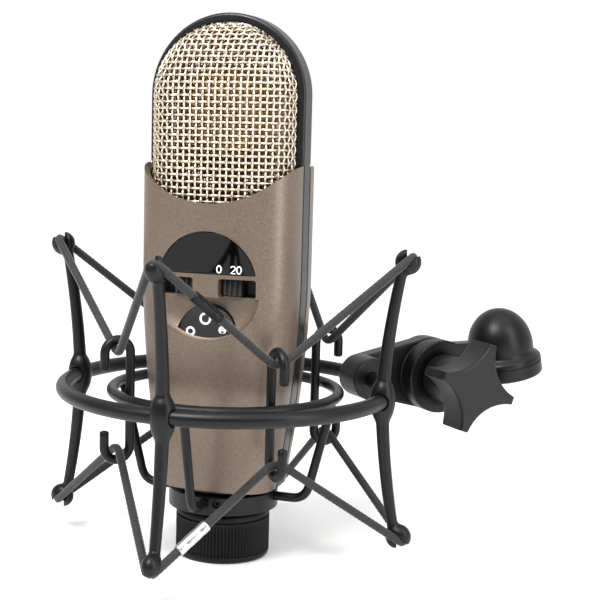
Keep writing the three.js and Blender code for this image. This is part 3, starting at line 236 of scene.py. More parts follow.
def joined(*parts):
    whole = bmesh.new()
    for bm in parts:
        mesh = bpy.data.meshes.new("part")
        bm.to_mesh(mesh)
        bm.free()
        whole.from_mesh(mesh)
        bpy.data.meshes.remove(mesh)
    return whole


def box(x0, x1, y0, y1, z0, z1):
    bm = bmesh.new()
    bmesh.ops.create_cube(bm, size=1)
    bmesh.ops.scale(bm, vec=(x1 - x0, y1 - y0, z1 - z0), verts=bm.verts)
    return moved(bm, Matrix.Translation(((x0 + x1) / 2, (y0 + y1) / 2, (z0 + z1) / 2)))


def along_y(bm, x=0, z=0):
    """What was drawn about Z now lies along Y, its height turned into distance behind Y = 0."""
    turned_about(bm, -90, "X")
    return moved(bm, Matrix.Translation((x, 0, z)))


def rod(radius, low, high, segments=96):
    return turned([(0, low), (radius, low), (radius, high), (0, high)], segments)


def plate(outline, y0, y1):
    """A front-view outline of (x, z) points given thickness along Y."""
    rings = [[(x, y, z) for x, z in outline] for y in (y0, y1)]
    return loft(rings)


def temporary(bm, name="cutter"):
    mesh = bpy.data.meshes.new(name)
    bm.to_mesh(mesh)
    bm.free()
    thing = bpy.data.objects.new(name, mesh)
    bpy.context.collection.objects.link(thing)
    return thing


def with_modifiers(thing):
    """The bmesh that an object's modifiers give; the object itself is removed."""
    graph = bpy.context.evaluated_depsgraph_get()
    bm = bmesh.new()
    bm.from_object(thing, graph)
    mesh = thing.data
    bpy.data.objects.remove(thing)
    bpy.data.meshes.remove(mesh)
    return bm


def boolean(base, tool, operation, folded=False):
    """base and tool are bmeshes. operation is DIFFERENCE, UNION or INTERSECT.
    folded allows a tool that runs through itself."""
    target, cutter = temporary(base, "base"), temporary(tool)
    modifier = target.modifiers.new("cut", "BOOLEAN")
    modifier.operation = operation
    modifier.solver = "EXACT"
    modifier.use_self = folded
    modifier.object = cutter
    result = with_modifiers(target)
    mesh = cutter.data
    bpy.data.objects.remove(cutter)
    bpy.data.meshes.remove(mesh)
    return result


def cut(base, *tools):
    for tool in tools:
        base = boolean(base, tool, "DIFFERENCE")
    return base


def union(base, *others):
    for other in others:
        base = boolean(base, other, "UNION")
    return base


def bevelled(bm, width, angle=35, segments=3):
    thing = temporary(bm, "bevel")
    modifier = thing.modifiers.new("bevel", "BEVEL")
    modifier.width = width
    modifier.segments = segments
    modifier.limit_method = "ANGLE"
    modifier.angle_limit = math.radians(angle)
    modifier.use_clamp_overlap = True
    modifier.miter_outer = "MITER_ARC"
    return with_modifiers(thing)


def melted(bm, voxel, smooth):
    """Unites overlapping shapes into one skin and rounds the corners between them."""
    thing = temporary(bm, "melt")
    remesh = thing.modifiers.new("remesh", "REMESH")
    remesh.mode = "VOXEL"
    remesh.voxel_size = voxel
    relax = thing.modifiers.new("relax", "SMOOTH")
    relax.factor = 0.5
    relax.iterations = smooth
    return with_modifiers(thing)


# %% Finishing a piece: metres, shading, material, body, and hiding the pieces it replaces
def piece(name, bm, body, material, replaces=(), crease=40):
    bmesh.ops.remove_doubles(bm, verts=bm.verts, dist=1e-4)
    loose = [v for v in bm.verts if not v.link_faces]
    bmesh.ops.delete(bm, geom=loose, context="VERTS")
    bmesh.ops.recalc_face_normals(bm, faces=bm.faces)
    for vert in bm.verts:
        vert.co = in_metres(vert.co)
    mesh = bpy.data.meshes.new(name)
    bm.to_mesh(mesh)
    bm.free()
    mesh.shade_smooth()
    mesh.set_sharp_from_angle(angle=math.radians(crease))
    thing = bpy.data.objects.new(name, mesh)
    bpy.context.collection.objects.link(thing)
    mesh.materials.append(material)
    if body:
        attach(thing, body)
    if replaces:
        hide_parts(*replaces)
    print(f"{name}: {len(mesh.polygons)} faces, on {body or 'two bodies'}")
    return thing


# %% [markdown]
# ## Finishes
# Each material starts from what the real one is. Colours are written as sRGB hex values, the
# way a paint or a photo editor gives them, and one function turns them to the linear values
# that the shader works with. Another small function adds a node, its settings and its links.


# %% Colour and node helpers
def linear(code):
    """'7b6b5e' as a linear RGBA colour."""
    values = []
    for i in (0, 2, 4):
        part = int(code[i:i + 2], 16) / 255
        values.append(part / 12.92 if part <= 0.04045 else ((part + 0.055) / 1.055) ** 2.4)
    return (*values, 1.0)


def add_node(tree, kind, settings=None, links=None, values=None):
    node = tree.nodes.new(kind)
    for key, value in (settings or {}).items():
        setattr(node, key, value)
    for key, value in (values or {}).items():
        node.inputs[key].default_value = value
    for key, source in (links or {}).items():
        tree.links.new(source, node.inputs[key])
    return node


def new_material(name, colour, roughness, metallic=0.0, **shader):
    material = bpy.data.materials.new(name)
    material.use_nodes = True
    tree = material.node_tree
    surface = tree.nodes["Principled BSDF"]
    surface.inputs["Base Color"].default_value = linear(colour)
    surface.inputs["Roughness"].default_value = roughness
    surface.inputs["Metallic"].default_value = metallic
    for key, value in shader.items():
        surface.inputs[key.replace("_", " ")].default_value = value
    return material, tree, surface


def ramp(tree, source, stops):
    """A colour ramp from a list of (place, hex colour)."""
    node = add_node(tree, "ShaderNodeValToRGB", links={"Fac": source})
    elements = node.color_ramp.elements
    while len(elements) < len(stops):
        elements.new(0.5)
    for element, (place, colour) in zip(elements, stops):
        element.position = place
        element.color = linear(colour)
    return node.outputs["Color"]


def vary(tree, source, low, high):
    """A 0 to 1 value stretched to run from low to high."""
    node = add_node(tree, "ShaderNodeMapRange", links={"Value": source},
                    values={"To Min": low, "To Max": high})
    return node.outputs["Result"]


def grain(tree, size_mm, detail=2.0, stretch=(1, 1, 1)):
    """Noise whose blotches are about size_mm across."""
    place = add_node(tree, "ShaderNodeTexCoord")
    scaled = add_node(tree, "ShaderNodeMapping", links={"Vector": place.outputs["Object"]},
                      values={"Scale": stretch})
    return add_node(tree, "ShaderNodeTexNoise", links={"Vector": scaled.outputs["Vector"]},
                    values={"Scale": 1 / (size_mm * MM), "Detail": detail})


def bump(tree, surface, height, depth_mm, strength=1.0):
    node = add_node(tree, "ShaderNodeBump", links={"Height": height},
                    values={"Distance": depth_mm * MM, "Strength": strength})
    tree.links.new(node.outputs["Normal"], surface.inputs["Normal"])


# %% [markdown]
# ### Metallic bronze paint
# The shells are die-cast zinc sprayed with a satin paint that holds aluminium flakes. The
# flakes are about 0.1 mm, which is too fine to show, so they are drawn at 0.35 mm. A broad
# soft noise adds the slight cloudiness of a sprayed coat.


# %% Bronze paint
def make_bronze_paint():
    material, tree, surface = new_material("satin_bronze_flake_paint", "6f6156", 0.4, 0.5,
                                           Coat_Weight=0.12, Coat_Roughness=0.3)
    place = add_node(tree, "ShaderNodeTexCoord")
    flakes = add_node(tree, "ShaderNodeTexVoronoi", links={"Vector": place.outputs["Object"]},
                      values={"Scale": 1 / (0.35 * MM)})
    sparkle = ramp(tree, flakes.outputs["Color"], [(0.0, "66594e"), (0.6, "6f6156"), (1.0, "817265")])
    cloud = grain(tree, 22, 3)
    tint = add_node(tree, "ShaderNodeMix", {"data_type": "RGBA", "blend_type": "MULTIPLY"},
                    {"Factor": vary(tree, cloud.outputs["Fac"], 0.0, 0.35), "A": sparkle})
    tint.inputs["B"].default_value = linear("d8cfc4")
    tree.links.new(tint.outputs["Result"], surface.inputs["Base Color"])
    tree.links.new(vary(tree, flakes.outputs["Distance"], 0.34, 0.48), surface.inputs["Roughness"])
    bump(tree, surface, flakes.outputs["Distance"], 0.006, 0.3)
    return material


# %% [markdown]
# ### Black finishes
# The arch is lacquered, the mount's wires are powder coated, the nut and knob are moulded in
# filled nylon, and the window is polished acrylic. All are black, so the eye tells them apart
# only by gloss and grain: lacquer gives clean soft reflections, powder coat has a fine orange
# peel, nylon scatters the light, and acrylic mirrors it.


# %% Black finishes
def make_black(name, colour, roughness, peel_mm, peel_depth, metallic=0.0, **shader):
    material, tree, surface = new_material(name, colour, roughness, metallic, **shader)
    skin = grain(tree, peel_mm, 2)
    tree.links.new(vary(tree, skin.outputs["Fac"], roughness * 0.85, roughness * 1.15),
                   surface.inputs["Roughness"])
    cloud = grain(tree, 14, 2)
    light, dark = colour, "".join(f"{round(int(colour[i:i + 2], 16) * 0.8):02x}" for i in (0, 2, 4))
    tree.links.new(ramp(tree, cloud.outputs["Fac"], [(0.3, dark), (0.7, light)]),
                   surface.inputs["Base Color"])
    bump(tree, surface, skin.outputs["Fac"], peel_depth, 0.5)
    return material


# %% [markdown]
# ### Metals
# The grille is woven from nickel-plated brass wire, drawn and annealed, so it is bright with a
# warm cast where the plating is thin. Screws are zinc-plated steel. Both keep the default IOR.
# The finer gauze behind the grille is drawn in a dark brown, which is painted shade.


# %% Metals
def make_metal(name, bright, dull, roughness, grain_mm, stretch=(1, 1, 1), scratch=0.01, **shader):
    material, tree, surface = new_material(name, bright, roughness, 1.0, **shader)
    lines = grain(tree, grain_mm, 3, stretch)
    tree.links.new(ramp(tree, lines.outputs["Fac"], [(0.25, dull), (0.65, bright)]),
                   surface.inputs["Base Color"])
    tree.links.new(vary(tree, lines.outputs["Fac"], roughness * 0.8, roughness * 1.3),
                   surface.inputs["Roughness"])
    bump(tree, surface, lines.outputs["Fac"], scratch, 0.4)
    return material


# %% [markdown]
# ### Braided elastic
# The cord is natural rubber in a braided polyester sleeve. The braid's ridges are in the mesh,
# so the material only adds the soft sheen of the yarn and its slightly uneven black.


# %% Braided elastic and small finishes
def make_elastic():
    material, tree, surface = new_material("braided_polyester_sleeve", "151516", 0.75,
                                           Sheen_Weight=0.25, Sheen_Roughness=0.4)
    yarn = grain(tree, 0.4, 2)
    tree.links.new(ramp(tree, yarn.outputs["Fac"], [(0.3, "0d0d0e"), (0.7, "242425")]),
                   surface.inputs["Base Color"])
    bump(tree, surface, yarn.outputs["Fac"], 0.05, 0.6)
    return material


def make_white_ink():
    material, tree, surface = new_material("white_screen_ink", "e8e8e6", 0.45)
    film = grain(tree, 1.5, 2)
    tree.links.new(ramp(tree, film.outputs["Fac"], [(0.3, "dcdcda"), (0.7, "f2f2f0")]),
                   surface.inputs["Base Color"])
    return material


def make_circuit_board():
    material, tree, surface = new_material("green_solder_mask", "1d4a2b", 0.35)
    tracks = add_node(tree, "ShaderNodeTexBrick",
                      links={"Vector": add_node(tree, "ShaderNodeTexCoord").outputs["Object"]},
                      values={"Scale": 1 / (6 * MM), "Mortar Size": 0.06,
                              "Color1": linear("1f5230"), "Color2": linear("1b472a"),
                              "Mortar": linear("3f7a4a")})
    tree.links.new(tracks.outputs["Color"], surface.inputs["Base Color"])
    bump(tree, surface, tracks.outputs["Fac"], 0.03, 0.5)
    return material


FINISH = {
    "bronze_paint": make_bronze_paint(),
    "black_lacquer": make_black("black_lacquer_on_zinc", "0f1011", 0.34, 3, 0.01,
                                Specular_IOR_Level=0.35),
    "satin_black_metal": make_black("satin_black_powder_coat", "0c0c0d", 0.38, 0.5, 0.02,
                                    Specular_IOR_Level=0.25),
    "knob_plastic": make_black("glass_filled_nylon_moulded", "101012", 0.42, 0.35, 0.03,
                               Specular_IOR_Level=0.3),
    "nut_plastic": make_black("nylon_matte_moulded", "0e0e0f", 0.55, 0.35, 0.03,
                              Specular_IOR_Level=0.25),
    "black_plastic": make_black("abs_fine_moulded", "161617", 0.48, 0.3, 0.02),
    "gloss_window": make_black("acrylic_polished_black", "050506", 0.07, 9, 0.002,
                               Specular_IOR_Level=0.4),
    "nickel_mesh": make_metal("nickel_plated_brass_wire", "e2d6c4", "b3a591", 0.33, 1.2),
    # The fine gauze is the same nickel plating as the outer cloth, drawn dark brown: painted shade of the head's
    # inside, seen through the gaps.
    "gauze_painted_shade": make_metal("fine_gauze_dark_painted_shade", "84694f", "5f4a38", 0.5, 1.2),
    # The gold film's emission is a painted glow, standing in for the light that two layers of mesh hold back.
    "gold_film": make_metal("gold_sputtered_film", "e9cfa0", "cfae7c", 0.3, 4,
                           scratch=0.004, Emission_Color=linear("ffd9a8"), Emission_Strength=0.12),
    "brass": make_metal("turned_brass", "d8b56a", "b08d49", 0.3, 0.6, (1, 1, 8)),
    "steel": make_metal("zinc_plated_steel", "c9cacc", "9a9b9e", 0.3, 0.8, (1, 6, 1)),
    "dark_steel": make_metal("blackened_steel", "2c2c2e", "1c1c1d", 0.35, 0.8, (1, 6, 1)),
    "circuit_board": make_circuit_board(),
    "capacitor_sleeve": make_black("pvc_shrink_sleeve_blue", "24375c", 0.3, 2, 0.01),
    "elastic": make_elastic(),
    "friction_fibre": make_black("pressed_fibre_washer", "26211f", 0.7, 0.4, 0.05),
    "white_ink": make_white_ink(),
}
print("materials:", len(FINISH))

# %% [markdown]
# Every piece of the working model first gets the finish of its slot. Those that stay in view
# as they are, mostly inside the body, keep it; the others are replaced further down.

# %% Finishes on the working model's own pieces
for part in frame["record"]["subparts"]:
    node = frame["nodes"][part["node"]]
    node.data.materials.clear()
    finish = "black_plastic" if part["node"].endswith("_switch") else part["material_slot"]
    node.data.materials.append(FINISH[finish])

# %% [markdown]
# ## Body shells
# The body's section is a superellipse: fuller than an ellipse, softer than a box. It narrows
# towards the foot. A front and a rear shell meet a centre frame, and their top edge follows a
# circle cut straight through from front to back.


# %% The body's section at any height
def taper(z):
    return max(0.0, (BODY_TAPER_FROM - z) / BODY_TAPER_TALL) ** TAPER_POWER


def half_width(z):
    return BODY_W - (BODY_W - FOOT_W) * taper(z)


def half_depth(z):
    return BODY_D - (BODY_D - FOOT_D) * taper(z)


def section_point(angle, width, depth, z):
    cos, sin = math.cos(angle), math.sin(angle)
    x = math.copysign(abs(cos) ** (2 / SECTION_POWER), cos) * width
    y = math.copysign(abs(sin) ** (2 / SECTION_POWER), sin) * depth
    return Vector((x, y, z))


def section_ring(inset, z, count):
    """Points spaced evenly by arc, so the flat faces and the corners get the same mesh."""
    width, depth = half_width(z) - inset, half_depth(z) - inset
    fine = [section_point(2 * math.pi * i / 720, width, depth, z) for i in range(721)]
    lengths = [0.0]
    for a, b in zip(fine, fine[1:]):
        lengths.append(lengths[-1] + (b - a).length)
    ring = []
    place = 0
    for j in range(count):
        goal = lengths[-1] * j / count
        while lengths[place + 1] < goal:
            place += 1
        share = (goal - lengths[place]) / (lengths[place + 1] - lengths[place])
        ring.append(fine[place].lerp(fine[place + 1], share))
    return ring


def body_form(inset, low, high, steps=24, count=144):
    return loft([section_ring(inset, low + (high - low) * i / steps, count) for i in range(steps + 1)])


# %% Cutters for the controls
def rim_cutter():
    """Everything above the curved rim."""
    return along_y(rod(RIM_RADIUS, -30, 30, 160), z=RIM_LOW + RIM_RADIUS)


def half_space(side, distance):
    return box(-80, 80, -80, -distance, 0, 250) if side < 0 else box(-80, 80, distance, 80, 0, 250)


def window_outline(inset, steps=40):
    radius, chord = WINDOW_R - inset, WINDOW_CHORD + inset
    start = math.asin((chord - DISH_Z) / radius)
    points = []
    for i in range(steps + 1):
        angle = start + (math.pi - 2 * start) * i / steps
        points.append((radius * math.cos(angle), DISH_Z + radius * math.sin(angle)))
    return points


def rounded_box_outline(x0, x1, z0, z1, radius, steps=4):
    points = []
    corners = [(x1 - radius, z0 + radius, -90), (x1 - radius, z1 - radius, 0),
               (x0 + radius, z1 - radius, 90), (x0 + radius, z0 + radius, 180)]
    for x, z, start in corners:
        for i in range(steps + 1):
            angle = math.radians(start + 90 * i / steps)
            points.append((x + radius * math.cos(angle), z + radius * math.sin(angle)))
    return points


def bowl_cutter():
    """The lower part of a shallow ellipsoid, sunk into the front below the slots."""
    bm = bmesh.new()
    bmesh.ops.create_uvsphere(bm, u_segments=96, v_segments=64, radius=1)
    bmesh.ops.scale(bm, vec=(DISH_R, DISH_DEPTH, DISH_TALL), verts=bm.verts)
    moved(bm, Matrix.Translation((0, -BODY_D, DISH_Z - DISH_DROP)))
    return boolean(bm, box(-40, 40, -40, 0, 0, SLOT_LOW), "INTERSECT")


# %% Front shell
def control_form(inset):
    return body_form(inset, DISH_Z - 40, DISH_Z + 40, 20)


def shell_blank(side):
    top = RIM_LOW + 16
    form = cut(body_form(0, BODY_LOW, top, 30), body_form(WALL, BODY_LOW + WALL, top + 5, 30),
               rod(TAIL_R + 3.5 + GAP, BODY_LOW - 5, 28.55, 96), rim_cutter())
    return boolean(form, half_space(side, SPINE_T + GAP), "INTERSECT")


def front_shell():
    back = -BODY_D + BLOCK_DEPTH
    block = union(along_y(rod(DISH_R + 0.6, -30, back), z=DISH_Z),
                  along_y(rod(DIAL_R + 2.5, -30, back), z=DIAL_Z))
    block = boolean(block, control_form(0.06), "INTERSECT")
    shell = union(shell_blank(-1), block)
    pocket = cut(plate(window_outline(0), -BODY_D - 3, -11), control_form(WINDOW_T + GAP))
    slots = [plate(rounded_box_outline(*sorted((side * SLOT_IN, side * SLOT_OUT)), SLOT_LOW, SLOT_HIGH, 1),
                   -BODY_D - 3, back + 3) for side in (-1, 1)]
    dial = along_y(rod(DIAL_R + GAP, DIAL_FACE - GAP, DIAL_FACE + DIAL_T + GAP), z=DIAL_Z)
    shaft = along_y(rod(3 + GAP, DIAL_FACE, 0, 48), z=DIAL_Z)
    shell = cut(shell, bowl_cutter(), pocket, *slots, dial, shaft)
    return bevelled(shell, 0.28, 32, 3)


def rear_shell():
    shell = shell_blank(1)
    for z in (BODY_LOW + 14, RIM_LOW - 14):
        shell = cut(shell, along_y(rod(1.9, 0, 40, 48), z=z))
    return bevelled(shell, 0.28, 32, 3)


shells = [
    piece("front_shell_painted", front_shell(), "microphone", FINISH["bronze_paint"],
          ["front_shell"], 28),
    piece("rear_shell_painted", rear_shell(), "microphone", FINISH["bronze_paint"],
          ["rear_shell"], 28),
]

# %% [markdown]
# A boolean leaves large flat-looking faces beside small ones, and plain smooth shading would
# smear light across them. A weighted normal modifier lets the large faces decide.


# %% Clean shading after booleans
def weigh_normals(thing):
    modifier = thing.modifiers.new("weighted normals", "WEIGHTED_NORMAL")
    modifier.keep_sharp = True
    modifier.weight = 60
    return thing


for shell in shells:
    weigh_normals(shell)

# %% [markdown]
# ## Centre frame
# One casting carries everything: a thin strip that shows between the shells, a thicker arch
# over the grille, a deck under the capsule and a disc at the foot. The arch is a rounded
# rectangle swept round an outline, which keeps its outer edge evenly soft.


# %% The frame's outline and its swept strip
def frame_outline(low):
    """(x, z, inward x, inward z) from the right foot over the arch to the left foot."""
    stations = []
    for i in range(30):
        z = low + (HEAD_Z - low) * i / 30
        stations.append((half_width(z), z, -1, 0))
    for i in range(73):
        angle = math.pi * i / 72
        x, z = math.cos(angle), math.sin(angle)
        stations.append((BODY_W * x, HEAD_Z + BODY_W * z, -x, -z))
    return stations + [(-x, z, 1, 0) for x, z, _, _ in reversed(stations[:30])]


def strip(stations, half_thickness, radius=1.1, steps=5):
    """Each station's section, its outer corners rounded, runs from the outside in."""
    section = []
    for side in (-1, 1):
        corner = []
        for i in range(steps + 1):
            angle = math.pi / 2 * i / steps
            corner.append((radius * (1 - math.cos(angle)),
                           half_thickness - radius * (1 - math.sin(angle))))
        if side < 0:
            section += [(inward, -y) for inward, y in reversed(corner)]
        else:
            section += corner
    section += [(ARCH_WALL - 0.3, half_thickness), (ARCH_WALL, half_thickness - 0.3),
                (ARCH_WALL, -half_thickness + 0.3), (ARCH_WALL - 0.3, -half_thickness)]
    rings = []
    for x, z, inward_x, inward_z in stations:
        rings.append([(x + inward_x * depth, y, z + inward_z * depth) for depth, y in section])
    return loft(rings)


DECK_TOP, FOOT_R, FOOT_LOW, FOOT_TOP = 124.0, 16.5, 25.2, 28.2


def centre_frame():
    shoulder = RIM_LOW + RIM_RADIUS - math.sqrt(RIM_RADIUS ** 2 - BODY_W ** 2) + GAP
    spine = strip(frame_outline(BODY_LOW), SPINE_T)
    arch = strip(frame_outline(shoulder), ARCH_T)
    deck = body_form(WALL + GAP, DECK_TOP - 3, DECK_TOP, 1)
    foot = turned([(TAIL_R + GAP, FOOT_LOW), (FOOT_R - 0.3, FOOT_LOW), (FOOT_R, FOOT_LOW + 0.3),
                   (FOOT_R, FOOT_TOP), (TAIL_R + GAP, FOOT_TOP)])
    reach = half_width(BODY_LOW) - 1
    bar = cut(box(-reach, reach, -SPINE_T, SPINE_T, BODY_LOW, FOOT_TOP),
              rod(TAIL_R + GAP + 0.02, 20, 40))
    whole = union(spine, arch, cut(deck, rod(3, DECK_TOP - 9, DECK_TOP + 6, 48)), foot, bar)
    return bevelled(whole, 0.15, 50, 2)


weigh_normals(piece("centre_frame_lacquered", centre_frame(), "microphone", FINISH["black_lacquer"],
                    ["centre_frame"], 35))

# %% [markdown]
# ## Controls
# Above: a glossy window with the two pad settings printed on it. Middle: two slots with ridged
# sliders, which set the pad and the low cut. Below: the upper part of a dial whose rings stand
# for the pickup patterns. Printed marks are thin raised shapes, so they keep their edge at any
# distance.

# %% Gloss window
window = boolean(plate(window_outline(GAP), -BODY_D - 3, -11), control_form(0), "INTERSECT")
window = bevelled(cut(window, control_form(WINDOW_T)), 0.3, 35, 3)
weigh_normals(piece("upper_window_acrylic", window, "microphone", FINISH["gloss_window"],
                    ["upper_window"], 30))

# %% Printed figures
INK = 0.05


def body_front(x, z):
    """How far in front of the axis the body's surface is."""
    share = 1 - abs(x / half_width(z)) ** SECTION_POWER
    return -half_depth(z) * max(share, 0) ** (1 / SECTION_POWER)


def stroke(points, width, closed=False):
    """A flat pen line of (x, z) points, laid on the body's front and slightly raised."""
    points = [Vector((x, z)) for x, z in points]
    count = len(points)
    rings = []
    for i, point in enumerate(points):
        before = points[(i - 1) % count] if closed or i else point
        after = points[(i + 1) % count] if closed or i < count - 1 else point
        ahead = (after - before).normalized()
        across = Vector((-ahead.y, ahead.x)) * (width / 2)
        ring = []
        for side, lift in ((1, 0.02), (1, -INK), (-1, -INK), (-1, 0.02)):
            x, z = point + across * side
            ring.append((x, body_front(x, z) + lift, z))
        rings.append(ring)
    return loft(rings, closed=closed)


def oval(x, z, width, height, count=32):
    return [(x + width / 2 * math.cos(2 * math.pi * i / count),
             z + height / 2 * math.sin(2 * math.pi * i / count)) for i in range(count)]


def figure_zero(x, z, tall):
    return stroke(oval(x, z, tall * 0.56, tall * 0.86), tall * 0.15, closed=True)


def figure_two(x, z, tall):
    wide, high = tall * 0.28, tall * 0.43
    points = []
    for i in range(17):
        angle = math.radians(165 - 225 * i / 16)
        points.append((x + wide * math.cos(angle), z + high * 0.42 + high * 0.58 * math.sin(angle)))
    points += [(x - wide, z - high), (x + wide * 1.05, z - high)]
    return stroke(points, tall * 0.15)


FIGURE_Z, FIGURE_TALL = 105.3, 2.8
figures = joined(figure_zero(4.9, FIGURE_Z, FIGURE_TALL), figure_two(9.9, FIGURE_Z, FIGURE_TALL),
                 figure_zero(12.0, FIGURE_Z, FIGURE_TALL))
piece("pad_figures_ink", figures, "microphone", FINISH["white_ink"])

# %% Ridged sliders
RIDGES = 4


def slider(side):
    inner = SLOT_IN + GAP if side > 0 else -SLOT_IN - GAP - SLIDER_W
    back = SLIDER_FACE + SLIDER_T
    outline = [(inner, back)]
    for i in range(RIDGES):
        left = inner + SLIDER_W * i / RIDGES
        pitch = SLIDER_W / RIDGES
        outline += [(left + 0.1 * pitch, SLIDER_FACE + 0.75), (left + 0.3 * pitch, SLIDER_FACE),
                    (left + 0.7 * pitch, SLIDER_FACE), (left + 0.9 * pitch, SLIDER_FACE + 0.75)]
    outline.append((inner + SLIDER_W, back))
    middle = (SLOT_LOW + SLOT_HIGH) / 2
    rings = [[(x, y, z) for x, y in outline] for z in (middle - SLIDER_H / 2, middle + SLIDER_H / 2)]
    return bevelled(loft(rings), 0.15, 30, 2)


for name, side, body in (("pad_slider", 1, "pad_button"), ("hpf_slider", -1, "filter_button")):
    piece(f"{name}_moulded", slider(side), body, FINISH["black_plastic"], [name], 50)

# %% Pattern dial with its rings
DIAL_KNURLS, ICONS, ICON_R, ICON_SIZE = 60, 5, 6.2, 1.75


def dial_edge(angle, radius, _):
    return 0.12 * math.cos(DIAL_KNURLS * angle) - 0.12 if radius > DIAL_R - 0.2 else 0


dial = turned([(0, 0), (DIAL_R - 0.7, 0), (DIAL_R - 0.5, 0.1), (DIAL_R, 0.6), (DIAL_R, DIAL_T - 0.3),
               (DIAL_R - 0.4, DIAL_T), (3, DIAL_T), (3, 13.6), (0, 13.6)], 480, dial_edge)
dial = along_y(dial, z=DIAL_Z)
moved(dial, Matrix.Translation((0, DIAL_FACE, 0)))
piece("pattern_dial_moulded", dial, "dial", FINISH["black_plastic"], ["pattern_dial"], 35)


def pattern_ring(index):
    """The outline of a pickup pattern: a circle, which leans to one side, then a heart."""
    omni = (1.0, 0.72, 0.55, 0.42, 0.3)[index]
    angle = math.radians(90 + 360 * index / ICONS + 6)
    middle = Vector((ICON_R * math.cos(angle), DIAL_Z + ICON_R * math.sin(angle)))
    outline = []
    for i in range(48):
        turn = 2 * math.pi * i / 48
        reach = ICON_SIZE * (omni + (1 - omni) * math.sin(turn))
        outline.append((middle.x + reach * math.cos(turn),
                        middle.y + reach * math.sin(turn) - (1 - omni) * ICON_SIZE * 0.6))
    rings = []
    for i, (x, z) in enumerate(outline):
        x2, z2 = outline[(i + 1) % 48]
        x1, z1 = outline[i - 1]
        across = Vector((z1 - z2, x2 - x1)).normalized() * 0.38
        ring = []
        for side, lift in ((1, 0.02), (1, -INK), (-1, -INK), (-1, 0.02)):
            ring.append((x + across.x * side, DIAL_FACE + lift, z + across.y * side))
        rings.append(ring)
    return loft(rings, closed=True)


piece("pattern_rings_ink", joined(*[pattern_ring(i) for i in range(ICONS)]), "dial",
      FINISH["white_ink"])

# %% [markdown]
# ## Grille
# The guard is plain-woven wire cloth, pressed into half a dome. Its wires are modelled one by
# one, each passing over and under the others, because that is what makes the sparkle: a flat
# pattern would not catch light on the side of each wire. A finer gauze lies behind it.
# The wires keep an even spacing round the body. Over the dome, those on the front stay upright
# while those at the corners follow the dome inwards.


# %% A point on the grille's surface
def grille_columns(inset, pitch):
    """Base points evenly spaced by arc over the front half, from the right seam to the left."""
    width, depth = GRILLE_W - inset, GRILLE_D - inset
    seam = ARCH_T + GAP
    fine = [section_point(-math.pi * i / 900, width, depth, 0) for i in range(901)]
    fine = [p for p in fine if abs(p.y) >= seam * 0.6]
    lengths = [0.0]
    for a, b in zip(fine, fine[1:]):
        lengths.append(lengths[-1] + (b - a).length)
    count = round(lengths[-1] / pitch)

    def base(place):
        goal = min(max(place, 0), count) * lengths[-1] / count
        low, high = 0, len(lengths) - 1
        while high - low > 1:
            middle = (low + high) // 2
            low, high = (middle, high) if lengths[middle] <= goal else (low, middle)
        share = (goal - lengths[low]) / (lengths[high] - lengths[low])
        return fine[low].lerp(fine[high], share)

    return count, base


def grille_rows(inset, pitch):
    """Heights evenly spaced up the front and on over the dome, with the dome's shrink factor."""
    radius, depth = GRILLE_W - inset, GRILLE_D - inset
    rise = HEAD_Z - (RIM_LOW - 1.8)
    dome = [(0.0, 0.0)]
    for i in range(1, 201):
        angle = math.pi / 2 * i / 200
        before = math.pi / 2 * (i - 1) / 200
        step = math.hypot(depth * (math.cos(angle) - math.cos(before)),
                          radius * (math.sin(angle) - math.sin(before)))
        dome.append((dome[-1][0] + step, angle))
    count = int((rise + dome[-1][0]) / pitch)

    def height(place):
        way = place * pitch - rise
        if way <= 0:
            return HEAD_Z + way, 1.0
        index = min(range(len(dome)), key=lambda i: abs(dome[i][0] - way)) if way < dome[-1][0] else 200
        angle = dome[index][1]
        return HEAD_Z + radius * math.sin(angle), math.cos(angle)

    return count, height


def grille_point(base, z, shrink, inset):
    """Returns the point and whether it is on this half's visible part."""
    width, depth = GRILLE_W - inset, GRILLE_D - inset
    if shrink >= 1:
        x, y = base.x, base.y
    else:
        lean = min(1.0, abs(base.x / width)) ** 4
        x = base.x * shrink ** lean
        room = shrink ** SECTION_POWER - abs(x / width) ** SECTION_POWER
        y = -depth * room ** (1 / SECTION_POWER) if room > 0 else 0.0
    rim = RIM_LOW - 1.8 + RIM_RADIUS + 1.8
    under = z < rim and math.hypot(x, z - rim) > RIM_RADIUS + 1.8
    shown = -y >= ARCH_T + GAP * 0.2 and not under
    return Vector((x, y, z)), shown


# %% Weaving the wires
def woven(inset, pitch, wire_r, swing, sides, samples):
    columns, base = grille_columns(inset, pitch)
    rows, height = grille_rows(inset, pitch)
    heights = [height(i / samples) for i in range(rows * samples + 1)]
    bases = [base(i / samples) for i in range(columns * samples + 1)]

    def point(column, row, side):
        z, shrink = heights[row]
        spot, shown = grille_point(bases[column], z, shrink, inset)
        right, right_ok = grille_point(bases[min(column + 1, len(bases) - 1)], z, shrink, inset)
        above, above_ok = grille_point(bases[column], *heights[min(row + 1, len(heights) - 1)], inset)
        normal = (right - spot).cross(above - spot)
        if not (right_ok and above_ok) or normal.length < 1e-9:
            normal = Vector((spot.x * 0.5, spot.y, max(0.0, spot.z - HEAD_Z)))
        normal.normalize()
        if normal.dot(Vector((spot.x, spot.y, 0))) < 0:
            normal.negate()
        wave = math.cos(math.pi * (column + row) / samples) if samples > 1 else 0
        return spot + normal * (swing * side * wave), shown

    parts = []
    lines = [[(c, r) for r in range(len(heights))] for c in range(0, len(bases), samples)]
    lines += [[(c, r) for c in range(len(bases))] for r in range(0, len(heights), samples)]
    split = len(range(0, len(bases), samples))
    for index, line in enumerate(lines):
        run = []
        for column, row in line:
            spot, shown = point(column, row, 1 if index < split else -1)
            if shown:
                run.append(spot)
                continue
            if len(run) > 2:
                parts.append(run)
            run = []
        if len(run) > 2:
            parts.append(run)
    return joined(*[swept(run, wire_r, sides, rounded=False) for run in parts])


MESH_PITCH, MESH_WIRE = 2.25, 0.45
GAUZE_PITCH, GAUZE_WIRE = 1.15, 0.2


